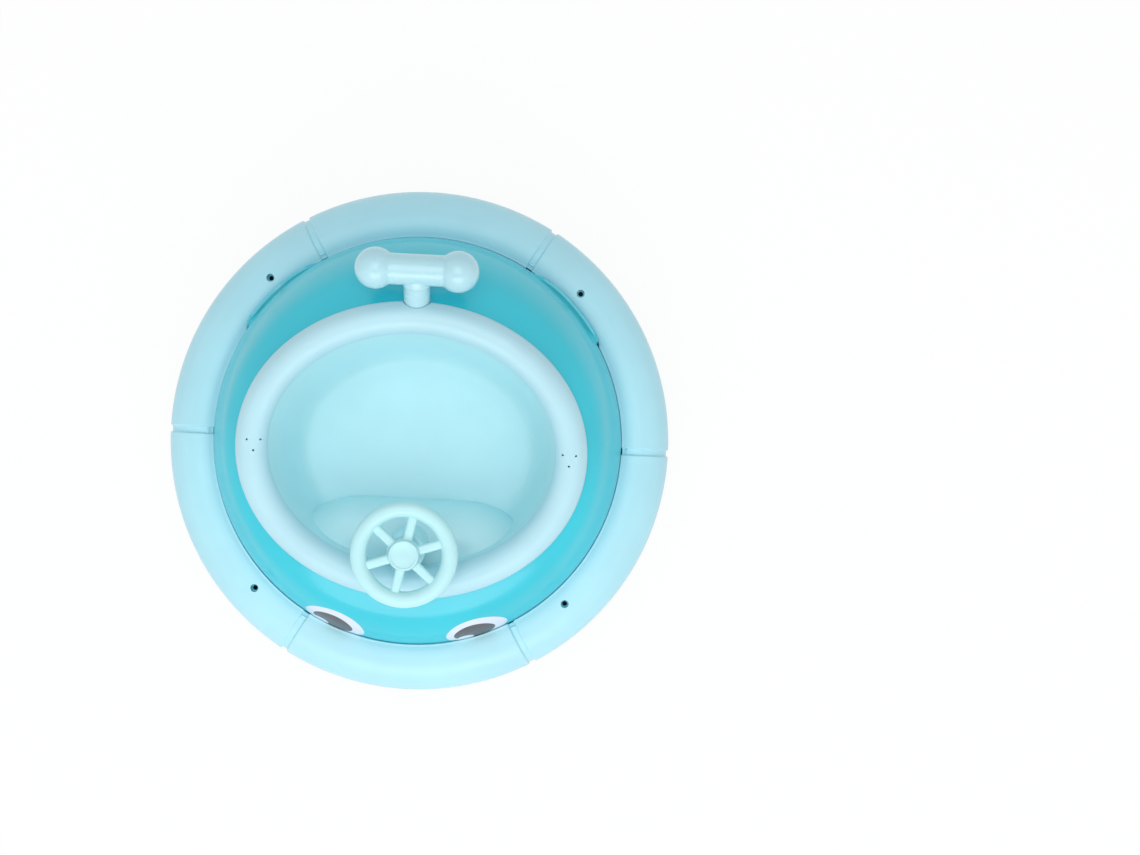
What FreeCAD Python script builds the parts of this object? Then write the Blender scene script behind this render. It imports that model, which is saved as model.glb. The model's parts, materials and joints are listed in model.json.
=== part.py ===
import FreeCAD, Part
import Sketcher
import math
import os
from types import SimpleNamespace

from FreeCAD import Placement, Rotation, Vector

# Round bath boat, a parametric assembly of separate pieces.
# Frame: the origin is on the resting plane under the ring's axis, +Z is up, -Y is the bow with
# the eyes and the steering wheel, +Y is the stern with the tail handle. Lengths are in mm.

DRIVING = {
    # float ring: two half shells round the boat
    "ring_radius": 120.0, "ring_tube": 15.5, "ring_level": 46.0, "ring_bore": 97.0,
    "ring_lip": 2.5, "wall": 2.0, "flange_reach": 111.0, "seal_gap": 1.0,
    "groove_tube": 1.8, "groove_lift": 0.8, "boss_radius": 3.9, "well_radius": 1.9,
    "screw_radius": 1.1, "screw_clearance": 1.2,
    # hull below the ring
    "hull_curve": 62.0, "hull_curve_reach": 36.6, "hull_curve_level": 61.4,
    # upper body, from a circle at the ring to a leaning ellipse under the coaming
    "body_radius": 95.9, "deck_forward": 4.8, "deck_level": 98.4, "deck_lean": 11.5,
    "rim_half_width": 79.6, "rim_half_length": 68.5, "rim_drop": 1.5,
    "flipper_radius": 98.6, "flipper_root": 94.2, "flipper_base": 52.0, "flipper_top": 67.5,
    # coaming and cockpit
    "coaming_half_width": 73.3, "coaming_half_length": 62.2, "coaming_tube": 7.5,
    "tub_half_width": 65.0, "tub_half_length": 54.0, "tub_floor": 50.0,
    "console_half_width": 52.0, "console_start": 27.6, "console_height": 26.0,
    "console_corner": 30.0, "console_round": 22.0,
    # steering wheel
    "wheel_forward": 51.2, "wheel_level": 111.0, "wheel_lean": 6.0, "wheel_rim": 20.8,
    "wheel_tube": 3.75, "wheel_hub": 7.3, "spoke_width": 4.3, "axle_radius": 2.5,
    "column_radius": 8.8, "running_gap": 0.05,
    # tail handle
    "tail_back": 77.1, "tail_level": 121.8, "tail_lean": 54.3, "ball_radius": 9.45,
    "ball_spacing": 37.2, "bar_radius": 7.1, "stem_radius": 6.0, "stem_length": 24.0,
    "plug_radius": 2.5, "plug_length": 5.4,
    # drive and propeller
    "gear_module": 1.0, "gear_width": 5.0, "drum_level": 25.0, "drum_core": 9.0,
    "case_length": 40.0, "case_wall": 1.8, "propeller_level": 14.0, "propeller_radius": 10.0,
    "propeller_back": 90.5, "shaft_radius": 1.5, "drum_shaft_radius": 2.0,
}

X_AXIS = Vector(1, 0, 0)
Y_AXIS = Vector(0, 1, 0)
Z_AXIS = Vector(0, 0, 1)
RING_SCREW_ANGLES = (45, 135, 225, 315)
GROOVE_ANGLES = (0, 60, 120, 180, 240, 300)
GROOVE_SWEEP = 145
DRUM_TEETH = 36
PINION_TEETH = 12

doc = FreeCAD.newDocument("bath_boat")
sheet = doc.addObject("Spreadsheet::Sheet", "dims")
PIECES = []


class Dim:
    """A length or angle that carries its value and the sheet formula behind it."""

    def __init__(self, value, text):
        self.value = float(value)
        self.text = text

    def combine(self, other, sign, swap=False):
        first, second = (of(other), self) if swap else (self, of(other))
        steps = {"+": first.value + second.value, "-": first.value - second.value,
                 "*": first.value * second.value}
        result = first.value / second.value if sign == "/" else steps[sign]
        return Dim(result, "(%s %s %s)" % (first.text, sign, second.text))

    def __add__(self, other):
        return self.combine(other, "+")

    def __radd__(self, other):
        return self.combine(other, "+", True)

    def __sub__(self, other):
        return self.combine(other, "-")

    def __rsub__(self, other):
        return self.combine(other, "-", True)

    def __mul__(self, other):
        return self.combine(other, "*")

    def __rmul__(self, other):
        return self.combine(other, "*", True)

    def __truediv__(self, other):
        return self.combine(other, "/")

    def __neg__(self):
        return self.combine(-1, "*")


def of(amount):
    """Any number as a Dim."""
    return amount if isinstance(amount, Dim) else Dim(amount, "(%.9g)" % amount)


def root(amount):
    return Dim(math.sqrt(amount.value), "sqrt(%s)" % amount.text)


def sine(angle):
    angle = of(angle)
    return Dim(math.sin(math.radians(angle.value)), "sin(%s)" % angle.text)


def cosine(angle):
    angle = of(angle)
    return Dim(math.cos(math.radians(angle.value)), "cos(%s)" % angle.text)


def fill_sheet():
    """Write the driving dimensions, and hand them back as named Dims."""
    for row, (alias, number) in enumerate(DRIVING.items(), start=1):
        sheet.set("A%d" % row, alias)
        sheet.set("B%d" % row, "%g" % number)
        sheet.setAlias("B%d" % row, alias)
    doc.recompute()
    return SimpleNamespace(**{alias: Dim(number, "dims." + alias)
                              for alias, number in DRIVING.items()})


def bind(obj, prop, amount):
    obj.setExpression(prop, of(amount).text)


def place(obj, at=(0, 0, 0), turn=None):
    """Move an object to at; turn is a Rotation, or an axis with an angle from the sheet."""
    spin = Rotation()
    if isinstance(turn, Rotation):
        spin = turn
    elif turn:
        spin = Rotation(turn[0], of(turn[1]).value)
    obj.Placement = Placement(Vector(*(of(part).value for part in at)), spin)
    for axis, part in zip("xyz", at):
        if isinstance(part, Dim):
            bind(obj, "Placement.Base." + axis, part)
    if isinstance(turn, tuple) and isinstance(turn[1], Dim):
        bind(obj, "Placement.Rotation.Angle", turn[1])
    return obj


def primitive(kind, name, sizes, at=(0, 0, 0), turn=None):
    obj = doc.addObject("Part::" + kind, name)
    for prop, amount in sizes.items():
        bind(obj, prop, amount)
    return place(obj, at, turn)


def cylinder(name, radius, height, at=(0, 0, 0), turn=None, angle=360):
    sizes = {"Radius": radius, "Height": height, "Angle": angle}
    return primitive("Cylinder", name, sizes, at, turn)


def box(name, size, at):
    return primitive("Box", name, dict(zip(("Length", "Width", "Height"), size)), at)


def ellipse(name, half_width, half_length, at=(0, 0, 0), turn=None):
    return primitive("Ellipse", name, {"MajorRadius": half_width, "MinorRadius": half_length},
                     at, turn)


def fuse(name, parts):
    obj = doc.addObject("Part::MultiFuse", name)
    obj.Shapes = parts
    return obj


def group(name, parts):
    obj = doc.addObject("Part::Compound", name)
    obj.Links = parts
    return obj


def cut(name, base, tools):
    obj = doc.addObject("Part::Cut", name)
    obj.Base = base
    obj.Tool = tools[0] if len(tools) == 1 else fuse(name + "_tools", tools)
    return obj


def common(name, base, tool):
    obj = doc.addObject("Part::Common", name)
    obj.Base, obj.Tool = base, tool
    return obj


def mirrored(name, source):
    """The same solid on the other side of the boat's middle plane."""
    obj = doc.addObject("Part::Mirroring", name)
    obj.Source = source
    obj.Normal = X_AXIS
    return obj


def loft(name, sections):
    obj = doc.addObject("Part::Loft", name)
    obj.Sections = sections
    obj.Solid = True
    return obj


def extrude(name, base, length, direction):
    obj = doc.addObject("Part::Extrusion", name)
    obj.Base = base
    obj.DirMode = "Custom"
    obj.Dir = direction
    bind(obj, "LengthFwd", length)
    obj.Solid = True
    return obj


def rounded(name, base, radius, wanted):
    """Fillet the edges of base for which wanted(edge) is true."""
    doc.recompute()
    obj = doc.addObject("Part::Fillet", name)
    obj.Base = base
    size = of(radius).value
    obj.Edges = [(index, size, size) for index, edge in enumerate(base.Shape.Edges, start=1)
                 if wanted(edge)]
    return obj


def body(name):
    return doc.addObject("PartDesign::Body", name)


def sketch(name, owner=None, plane="XY_Plane"):
    """A sketch on one of its body's planes, or a free one."""
    if owner is None:
        return doc.addObject("Sketcher::SketchObject", name)
    drawing = owner.newObject("Sketcher::SketchObject", name)
    base = [item for item in owner.Origin.OriginFeatures if item.Role == plane][0]
    drawing.AttachmentSupport = (base, [""])
    drawing.MapMode = "FlatFace"
    return drawing


def pin_point(drawing, curve, end, corner):
    """Hold one end of a curve at a corner given by sheet formulas."""
    for number, (kind, amount) in enumerate(zip(("DistanceX", "DistanceY"), corner)):
        amount = of(amount)
        if abs(amount.value) < 1e-9:
            drawing.addConstraint(
                Sketcher.Constraint("PointOnObject", curve, end, -2 if number == 0 else -1))
            continue
        index = drawing.addConstraint(
            Sketcher.Constraint(kind, -1, 1, curve, end, amount.value))
        bind(drawing, "Constraints[%d]" % index, amount)


def outline(drawing, corners, bends=None):
    """A closed outline; bends gives a radius to the side that leaves a corner.

    The centre of a bend lies left of the way from its corner to the next one when the radius
    is positive, and right of it when the radius is negative.
    """
    bends = bends or {}
    ends = []
    count = len(corners)
    for number in range(count):
        start, finish = corners[number], corners[(number + 1) % count]
        p = Vector(of(start[0]).value, of(start[1]).value, 0)
        q = Vector(of(finish[0]).value, of(finish[1]).value, 0)
        if number not in bends:
            ends.append((drawing.addGeometry(Part.LineSegment(p, q)), 1, 2))
            continue
        radius = of(bends[number])
        size, chord = abs(radius.value), q - p
        left = Vector(-chord.y, chord.x, 0).normalize()
        side = 1 if radius.value > 0 else -1
        centre = (p + q) * 0.5 + left * side * math.sqrt(size ** 2 - (chord.Length / 2) ** 2)
        angles = [math.atan2(point.y - centre.y, point.x - centre.x) for point in (p, q)]
        if side < 0:
            angles.reverse()
        circle = Part.Circle(centre, Z_AXIS, size)
        curve = drawing.addGeometry(Part.ArcOfCircle(circle, *angles))
        index = drawing.addConstraint(Sketcher.Constraint("Radius", curve, size))
        bind(drawing, "Constraints[%d]" % index, radius if side > 0 else -radius)
        ends.append((curve, 1, 2) if side > 0 else (curve, 2, 1))
    for number, (curve, start, _) in enumerate(ends):
        before, _, finish = ends[number - 1]
        drawing.addConstraint(Sketcher.Constraint("Coincident", before, finish, curve, start))
        pin_point(drawing, curve, start, corners[number])
    return drawing


def disc(drawing, radius, centre=(0, 0)):
    """A circle in a sketch, its size and place from the sheet."""
    middle = Vector(of(centre[0]).value, of(centre[1]).value, 0)
    curve = drawing.addGeometry(Part.Circle(middle, Z_AXIS, of(radius).value))
    index = drawing.addConstraint(Sketcher.Constraint("Radius", curve, of(radius).value))
    bind(drawing, "Constraints[%d]" % index, radius)
    pin_point(drawing, curve, 3, centre)
    return drawing


def pad(owner, name, profile, length):
    feature = owner.newObject("PartDesign::Pad", name)
    feature.Profile = profile
    bind(feature, "Length", length)
    return feature


def revolve(owner, name, profile, axis="V_Axis"):
    feature = owner.newObject("PartDesign::Revolution", name)
    feature.Profile = profile
    feature.ReferenceAxis = (profile, [axis])
    feature.Angle = 360
    return feature


def turned(name, corners, bends=None):
    """A body revolved round the vertical axis from a half section."""
    part = body(name)
    revolve(part, name + "_turn", outline(sketch(name + "_section", part, "XZ_Plane"),
                                          corners, bends))
    return part


def repeat(owner, name, feature, count, axis="Z_Axis"):
    """Copy a feature round an axis of its body."""
    doc.recompute()
    pattern = owner.newObject("PartDesign::PolarPattern", name)
    pattern.Originals = [feature]
    pattern.Axis = ([item for item in owner.Origin.OriginFeatures if item.Role == axis][0], [""])
    pattern.Angle = 360
    pattern.Occurrences = count
    owner.Tip = pattern
    doc.recompute()
    return pattern


def on_circle(radius, angle):
    return radius * cosine(angle), radius * sine(angle)


def keep(obj):
    """Count an object as one finished piece; its label names its file."""
    PIECES.append(obj)
    return obj


dim = fill_sheet()

# Levels and radii that follow from the driving dimensions.
FLANGE_THICK = dim.ring_lip
BODY_FOOT = dim.ring_level
BODY_SEAT = dim.ring_level + FLANGE_THICK
HULL_TOP = dim.ring_level - dim.seal_gap
HULL_SEAT = HULL_TOP - FLANGE_THICK
RING_MIDDLE = dim.ring_radius - dim.ring_tube
DECK_TURN = (X_AXIS, dim.deck_lean)


def on_deck(across, along, above):
    """A point of the leaning deck plane: across to +X, along to the stern, above the plane."""
    along, above = of(along), of(above)
    return (across,
            along * cosine(dim.deck_lean) - above * sine(dim.deck_lean) - dim.deck_forward,
            along * sine(dim.deck_lean) + above * cosine(dim.deck_lean) + dim.deck_level)


def ring_arc_level(radius, tube):
    """Height of a circle of the given tube radius above the ring's level, at a radius."""
    away = radius - RING_MIDDLE
    return root(tube * tube - away * away)


# Float ring

def ring_shell(name, side, seat):
    """Half of the ring, hollow, open along its middle plane; side is 1 above and -1 below."""
    inner_tube = dim.ring_tube - dim.wall
    inner_bore = dim.ring_bore + dim.wall
    corners = [(dim.ring_bore, seat),
               (inner_bore, seat),
               (inner_bore, dim.ring_level + side * ring_arc_level(inner_bore, inner_tube)),
               (dim.ring_radius - dim.wall, dim.ring_level),
               (dim.ring_radius, dim.ring_level),
               (dim.ring_bore, dim.ring_level + side * ring_arc_level(dim.ring_bore,
                                                                      dim.ring_tube))]
    return turned(name + "_half", corners, {2: inner_tube * -side, 4: dim.ring_tube * side})


def ring_grooves(name, first):
    """Rounded radial channels, each part of a slim torus that stands across the ring."""
    tools = []
    for angle in GROOVE_ANGLES:
        tool = doc.addObject("Part::Torus", "%s_groove_%d" % (name, angle))
        bind(tool, "Radius1", dim.ring_tube + dim.groove_lift)
        bind(tool, "Radius2", dim.groove_tube)
        tool.Angle3 = GROOVE_SWEEP
        x, y = on_circle(RING_MIDDLE, angle)
        upright = Rotation(Z_AXIS, angle) * Rotation(X_AXIS, 90) * Rotation(Z_AXIS, first)
        tools.append(place(tool, (x, y, dim.ring_level), upright))
    return tools


def at_ring_screws(name, radius, low, high):
    """One upright cylinder at each of the ring's screws."""
    return [cylinder("%s_%d" % (name, angle), radius, high - low,
                     (*on_circle(RING_MIDDLE, angle), low)) for angle in RING_SCREW_ANGLES]


def flipper_tool(name, radius, low, high, first, last):
    """A sector of a cylinder, used for the notches in the ring beside the flippers."""
    return cylinder(name, radius, high - low, (0, 0, low), Rotation(Z_AXIS, first),
                    angle=last - first)


well_floor = BODY_SEAT + 2.0
boss_top = dim.ring_level + dim.ring_tube - 1.0
upper = fuse("ring_upper_blank", [ring_shell("ring_upper", 1, BODY_SEAT)]
             + at_ring_screws("upper_boss", dim.boss_radius, BODY_SEAT, boss_top))
notches = [flipper_tool("right_notch", dim.flipper_radius + 0.3, BODY_SEAT - 1,
                        dim.ring_level + dim.ring_tube + 1, 30, 60)]
notches.append(mirrored("left_notch", notches[0]))
keep(cut("ring_upper_shell", upper,
         at_ring_screws("well", dim.well_radius, well_floor, boss_top + 3)
         + at_ring_screws("upper_clearance", dim.screw_clearance, BODY_SEAT - 1, well_floor + 1)
         + ring_grooves("upper", -10) + notches))

boss_foot = dim.ring_level - dim.ring_tube + 1.0
pilot_foot = dim.ring_level - 12
lower = fuse("ring_lower_blank", [ring_shell("ring_lower", -1, HULL_SEAT)]
             + at_ring_screws("lower_boss", dim.boss_radius, boss_foot, HULL_SEAT))
keep(cut("ring_lower_shell", lower,
         at_ring_screws("pilot", dim.screw_radius + 0.02, pilot_foot, HULL_SEAT + 1)
         + ring_grooves("lower", 10 - GROOVE_SWEEP)))

screw_heads = at_ring_screws("ring_screw_head", dim.well_radius - 0.2, well_floor,
                             well_floor + 1.5)
screw_shanks = at_ring_screws("ring_screw_shank", dim.screw_radius, pilot_foot + 1, well_floor)
keep(group("ring_screws", [fuse("ring_screw_%d" % angle, [head, shank]) for angle, head, shank
                           in zip(RING_SCREW_ANGLES, screw_heads, screw_shanks)]))

# Hull

def hull_reach(level, curve):
    """Radius of a hull surface at a height."""
    drop = dim.hull_curve_level - level
    return dim.hull_curve_reach + root(curve * curve - drop * drop)


def hull_shell():
    outer, inner = dim.hull_curve, dim.hull_curve - dim.wall
    corners = [(0, 0), (hull_reach(0, outer), 0), (hull_reach(HULL_SEAT, outer), HULL_SEAT),
               (dim.flange_reach, HULL_SEAT), (dim.flange_reach, HULL_TOP),
               (hull_reach(HULL_TOP, inner), HULL_TOP), (hull_reach(dim.wall, inner), dim.wall),
               (0, dim.wall)]
    return turned("hull_blank", corners, {1: outer, 5: -inner})


def hull_block():
    """The hull's outer form, filled, which trims what seats on it."""
    outer = dim.hull_curve
    corners = [(0, 0), (hull_reach(0, outer), 0), (hull_reach(HULL_SEAT, outer), HULL_SEAT),
               (0, HULL_SEAT)]
    return turned("hull_block", corners, {1: outer})


def along_y(name, radius, length, x, y, z):
    """A cylinder that runs to the stern from the given point."""
    return cylinder(name, radius, length, (x, y, z), Rotation(X_AXIS, -90))


gear_distance = dim.gear_module * (DRUM_TEETH + PINION_TEETH) / 2
drum_drop = dim.drum_level - dim.propeller_level
drum_side = -root(gear_distance * gear_distance - drum_drop * drum_drop)
gear_phase = math.degrees(math.atan2(drum_drop.value, -drum_side.value))

drum_tip = dim.gear_module * (DRUM_TEETH / 2 + 0.8)
case_drum_radius = drum_tip + 0.8 + dim.case_wall
case_pinion_radius = dim.gear_module * (PINION_TEETH / 2 + 0.8) + 0.8 + dim.case_wall
ear_low, ear_high = of(8.0), of(11.0)
ear_left = drum_side - case_drum_radius - 0.8
ear_right = case_pinion_radius + 3.1
EAR_PLACES = [(ear_left, 10), (ear_right, 10), (ear_left, 30), (ear_right, 30)]
ballast_at = (14, -18)
bush_radius = of(4.0)

case_posts = [cylinder("case_post_%d" % number, 3.0, ear_low - 1.8, (x, y, 1.8))
              for number, (x, y) in enumerate(EAR_PLACES)]
case_pilots = [cylinder("case_pilot_%d" % number, 0.92, 5, (x, y, 4.0))
               for number, (x, y) in enumerate(EAR_PLACES)]
ballast_post = cylinder("ballast_post", 3.0, 6.5, (*ballast_at, dim.wall - 0.5))
keep(cut("hull_lower_shell", fuse("hull_with_posts", [hull_shell(), ballast_post] + case_posts),
         at_ring_screws("hull_clearance", dim.screw_clearance, HULL_SEAT - 1, HULL_TOP + 1)
         + case_pilots
         + [along_y("stern_hole", bush_radius, 20, 0, 66, dim.propeller_level)]))

keep(turned("hull_seal", [(dim.ring_bore - 3, HULL_TOP), (dim.ring_bore + 3, HULL_TOP),
                          (dim.ring_bore + 3, BODY_FOOT), (dim.ring_bore - 3, BODY_FOOT)]))

# Upper body

def body_loft(name, grow):
    """The body's outer form, grown or shrunk: a circle that rises into a leaning ellipse."""
    rise = of(grow) * 0.8
    rim = on_deck(0, 0, rise - dim.rim_drop)
    level, radius = dim.ring_level, dim.body_radius
    stations = [
        (0, 0, BODY_FOOT, 0, radius, radius),
        (0, 0, level + 14, 0, radius - 0.2, radius - 0.2),
        (0, 0.5, level + 30 + rise * 0.5, 3.7, radius - 2.6, radius - 3.6),
        (0, -1.75, level + 42.8 + rise, 7.8, radius - 8.2, radius - 13.3),
        (*rim, dim.deck_lean, dim.rim_half_width, dim.rim_half_length)]
    sections = [ellipse("%s_station_%d" % (name, number), across + grow, along + grow,
                        (x, y, z), (X_AXIS, of(lean)))
                for number, (x, y, z, lean, across, along) in enumerate(stations)]
    return loft(name, sections)


def deck_plate(name, low, high, across, along):
    """An elliptical plate that lies in the deck plane between two heights."""
    face = ellipse(name + "_face", across, along, on_deck(0, 0, low), DECK_TURN)
    normal = Rotation(X_AXIS, dim.deck_lean.value).multVec(Z_AXIS)
    return extrude(name, face, high - low, normal)


def deck_ring(name, low, high, outer, inner):
    """A flat elliptical ring in the deck plane."""
    return cut(name, deck_plate(name + "_plate", low, high, *outer),
               [deck_plate(name + "_hole", low - 1, high + 1, *inner)])


flange_top = -dim.rim_drop - dim.wall
flange_low = flange_top - dim.wall
inner_rim = (dim.rim_half_width - dim.wall, dim.rim_half_length - dim.wall)


def screws_on_deck(name, radius, low, high):
    """One cylinder at each of the four screws that hold the coaming, square to the deck."""
    across, along = dim.tub_half_width + 7.3, dim.tub_half_length + 7.2
    return [cylinder("%s_%d" % (name, angle), radius, high - low,
                     on_deck(across * cosine(angle), along * sine(angle), low), DECK_TURN)
            for angle in (40, 140, 220, 320)]


def along_tail(name, radius, near, far):
    """A cylinder on the tail's axis; near and far are distances below the handle's bar."""
    at = (0, dim.tail_back - far * cosine(90 - dim.tail_lean),
          dim.tail_level - far * sine(90 - dim.tail_lean))
    return cylinder(name, radius, far - near, at, (X_AXIS, -dim.tail_lean))


def flipper():
    """A raised fin at the stern quarter, a curved block with soft corners."""
    sector = cut("flipper_sector",
                 flipper_tool("flipper_disc", dim.flipper_radius, dim.flipper_base,
                              dim.flipper_top, 31, 59),
                 [cylinder("flipper_core", dim.flipper_root, 40, (0, 0, 40))])
    upright = rounded("flipper_corners", sector, 3.0,
                      lambda edge: edge.Length > 15 and abs(edge.tangentAt(
                          edge.FirstParameter).z) > 0.9
                      and edge.valueAt(edge.FirstParameter).x ** 2
                      + edge.valueAt(edge.FirstParameter).y ** 2 > 98.0 ** 2)
    top = dim.flipper_top.value
    return rounded("right_flipper", upright, 2.2,
                   lambda edge: abs(edge.CenterOfMass.z - top) < 0.01
                   and edge.CenterOfMass.x ** 2 + edge.CenterOfMass.y ** 2 > 95.0 ** 2
                   and edge.Length > 2)


stem_end = dim.stem_length
socket_end = dim.stem_length + dim.plug_length + 1.2
right_flipper = flipper()
body_outer = body_loft("body_outer", 0)
foot_flange = cut("foot_flange",
                  cylinder("foot_flange_disc", dim.flange_reach, FLANGE_THICK, (0, 0, BODY_FOOT)),
                  [cylinder("foot_flange_bore", dim.body_radius - 1, 10, (0, 0, BODY_FOOT - 4))])
shell_blank = cut("body_blank", body_outer,
                  [body_loft("body_inner", -dim.wall),
                   deck_plate("rim_opening", flange_top, of(2), *inner_rim)])
rim_flange = common("rim_flange", body_outer, deck_ring(
    "rim_ledge", flange_low, flange_top, (inner_rim[0] + 8, inner_rim[1] + 12),
    (dim.tub_half_width + 4.3, dim.tub_half_length + 4.3)))
body_solid = fuse("body_with_flanges", [shell_blank, foot_flange, rim_flange, right_flipper,
                                        mirrored("left_flipper", right_flipper)])
keep(cut("body_upper_shell", body_solid,
         at_ring_screws("body_clearance", dim.screw_clearance, BODY_FOOT - 1, BODY_SEAT + 1)
         + screws_on_deck("rim_hole", 1.1, flange_low - 1, flange_top + 1)
         + [along_tail("body_tail_hole", dim.stem_radius + 0.3, 5, stem_end + 0.4),
            along_tail("body_socket_hole", dim.plug_radius + 1.7, stem_end, socket_end)]))

# Coaming

def coaming_ring():
    """A half-round bar swept round the cockpit's ellipse."""
    path = ellipse("coaming_path", dim.coaming_half_width, dim.coaming_half_length)
    section = sketch("coaming_section")
    reach = root(dim.coaming_tube * dim.coaming_tube - dim.rim_drop * dim.rim_drop)
    middle, tube = dim.coaming_half_width, dim.coaming_tube
    outline(section, [(middle - reach, -dim.rim_drop), (middle + reach, -dim.rim_drop),
                      (middle, tube)], {1: tube, 2: tube})
    section.Placement = Placement(Vector(), Rotation(X_AXIS, 90))
    ring = doc.addObject("Part::Sweep", "coaming_ring")
    ring.Sections = [section]
    ring.Spine = (path, ["Edge1"])
    ring.Solid = True
    ring.Frenet = True
    return place(ring, on_deck(0, 0, 0), DECK_TURN)


def vent_holes():
    """Three small holes in the coaming's crest on each side."""
    holes = []
    for side in (-1, 1):
        for across, along in ((-3.0, 2.3), (3.0, 2.3), (0.0, -2.7)):
            at = on_deck(side * dim.coaming_half_width + across, along, 4.0)
            holes.append(cylinder("vent_%d" % len(holes), 0.55, 5, at, DECK_TURN))
    return holes


keep(cut("cockpit_coaming", coaming_ring(), vent_holes()
         + screws_on_deck("coaming_pilot", 1.02, -dim.rim_drop - 1, 3.5)
         + [along_tail("coaming_tail_hole", dim.stem_radius + 0.3, 5, stem_end + 0.4),
            along_tail("coaming_socket_hole", dim.plug_radius + 1.7, stem_end, socket_end)]))

# Cockpit tub with its console

def tub_loft(name, grow, drop):
    """The bowl's form: a leaning ellipse that sinks, steep and rounded, to a level floor."""
    wide, long = dim.tub_half_width, dim.tub_half_length
    top = on_deck(0, 0, -dim.rim_drop)
    stations = [(0, -4.0, dim.tub_floor - drop, 0, wide - 17, long - 17),
                (0, -4.1, dim.tub_floor + 5 - drop, 1, wide - 8.5, long - 8.5),
                (0, -4.3, dim.tub_floor + 22 - drop / 2, 5, wide - 3, long - 2.6),
                (*top, dim.deck_lean, wide, long)]
    sections = [ellipse("%s_station_%d" % (name, number), across + grow, along + grow,
                        (x, y, z), (X_AXIS, of(lean)))
                for number, (x, y, z, lean, across, along) in enumerate(stations)]
    return loft(name, sections)


def console(name, inset, depth):
    """The rounded block that carries the steering column, across the front of the tub."""
    block = box(name + "_block",
                ((dim.console_half_width - inset) * 2, 60, dim.console_height - inset + depth),
                (inset - dim.console_half_width, -dim.console_start - inset - 60,
                 dim.tub_floor - depth))
    rear = -(dim.console_start.value + inset.value)
    corners = rounded(name + "_corners", block, dim.console_corner - inset,
                      lambda edge: abs(edge.tangentAt(edge.FirstParameter).z) > 0.9
                      and abs(edge.CenterOfMass.y - rear) < 0.01)
    top = (dim.tub_floor + dim.console_height - inset).value
    front = rear - 59.9
    return rounded(name, corners, dim.console_round - inset,
                   lambda edge: abs(edge.CenterOfMass.z - top) < 0.01
                   and edge.CenterOfMass.y > front)


def along_wheel(name, radius, low, high):
    """A cylinder on the steering axis; low and high are measured from the rim's plane."""
    low = of(low)
    at = (0, -dim.wheel_forward - low * sine(dim.wheel_lean),
          dim.wheel_level + low * cosine(dim.wheel_lean))
    return cylinder(name, radius, high - low, at, (X_AXIS, dim.wheel_lean))


mound = console("console", of(0), of(6))
mound_hollow = common("console_hollow", console("console_core", dim.wall, of(8)),
                      tub_loft("hollow_limit", 0, of(5)))
tub_flange = deck_ring("tub_flange", flange_top, -dim.rim_drop,
                       (inner_rim[0] - 0.2, inner_rim[1] - 0.2),
                       (dim.tub_half_width + 0.5, dim.tub_half_length + 0.5))
bowl_space = cut("bowl_space", tub_loft("bowl_inner", 0, of(0)), [mound])
tub_outside = fuse("tub_outside", [tub_loft("bowl_outer", dim.wall, dim.wall), tub_flange])
axle_bore = dim.axle_radius + dim.running_gap
tub = keep(cut("cockpit_tub", tub_outside,
               [bowl_space, mound_hollow,
                along_wheel("tub_axle_hole", axle_bore, -50, of(-20)),
                along_tail("tub_tail_hole", dim.stem_radius + 0.3, 5, stem_end + 0.4),
                along_tail("tub_socket_hole", dim.plug_radius + 1.7, stem_end, socket_end)]
               + screws_on_deck("tub_hole", 1.1, flange_top - 1, -dim.rim_drop + 1)))

tub_heads = screws_on_deck("tub_screw_head", 1.9, flange_low - 1.6, flange_low)
tub_shanks = screws_on_deck("tub_screw_shank", 1.0, flange_low, 3.0)
keep(group("tub_screws", [fuse("tub_screw_%d" % number, [head, shank])
                          for number, (head, shank) in enumerate(zip(tub_heads, tub_shanks))]))

# Steering

hub_low, hub_high = of(-8.0), of(4.2)
column = along_wheel("column_blank", dim.column_radius, of(-46), hub_low - 0.3)
column_top = hub_low.value - 0.3
column_soft = rounded("column_soft", column, 1.2,
                      lambda edge: edge.CenterOfMass.z > dim.wheel_level.value + column_top - 1
                      and edge.Length > 30)
keep(cut("steering_column", column_soft,
         [mound, tub, along_wheel("column_bore", axle_bore, -48, of(0))]))


def wheel_body():
    """Rim, hub and one spoke that a pattern repeats round the axis."""
    part = body("wheel_blank")
    hub = outline(sketch("hub_section", part, "XZ_Plane"),
                  [(0, hub_low), (dim.wheel_hub - 0.6, hub_low),
                   (dim.wheel_hub, hub_high - 1.0), (dim.wheel_hub - 0.7, hub_high),
                   (dim.wheel_hub - 1.6, hub_high - 0.4), (0, hub_high - 0.4)], {2: 0.95})
    revolve(part, "hub_turn", hub)
    revolve(part, "rim_turn", disc(sketch("rim_section", part, "XZ_Plane"), dim.wheel_tube,
                                   (dim.wheel_rim, 0)))
    half, thick = dim.spoke_width / 2, of(1.9)
    spoke = pad(part, "spoke",
                outline(sketch("spoke_section", part, "YZ_Plane"),
                        [(-half, -thick + 1), (-half + 1, -thick), (half - 1, -thick),
                         (half, -thick + 1), (half, thick - 1), (half - 1, thick),
                         (-half + 1, thick), (-half, thick - 1)],
                        {0: 1.0, 2: 1.0, 4: 1.0, 6: 1.0}),
                dim.wheel_rim - 0.8)
    repeat(part, "spokes", spoke, 6)
    return part


wheel = cut("steering_wheel", wheel_body(), [cylinder("hub_bore", dim.axle_radius, 10,
                                                      (0, 0, hub_low - 1))])
keep(place(wheel, (0, -dim.wheel_forward, dim.wheel_level),
           Rotation(X_AXIS, dim.wheel_lean.value) * Rotation(Z_AXIS, 19)))
axle_top, axle_low = of(1.0), of(-41.0)
keep(along_wheel("wheel_axle", dim.axle_radius, axle_low, axle_top))
keep(along_wheel("axle_screw", 4.4, axle_low - 2, axle_low))

# Eyes, thin printed patches on the bow

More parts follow.
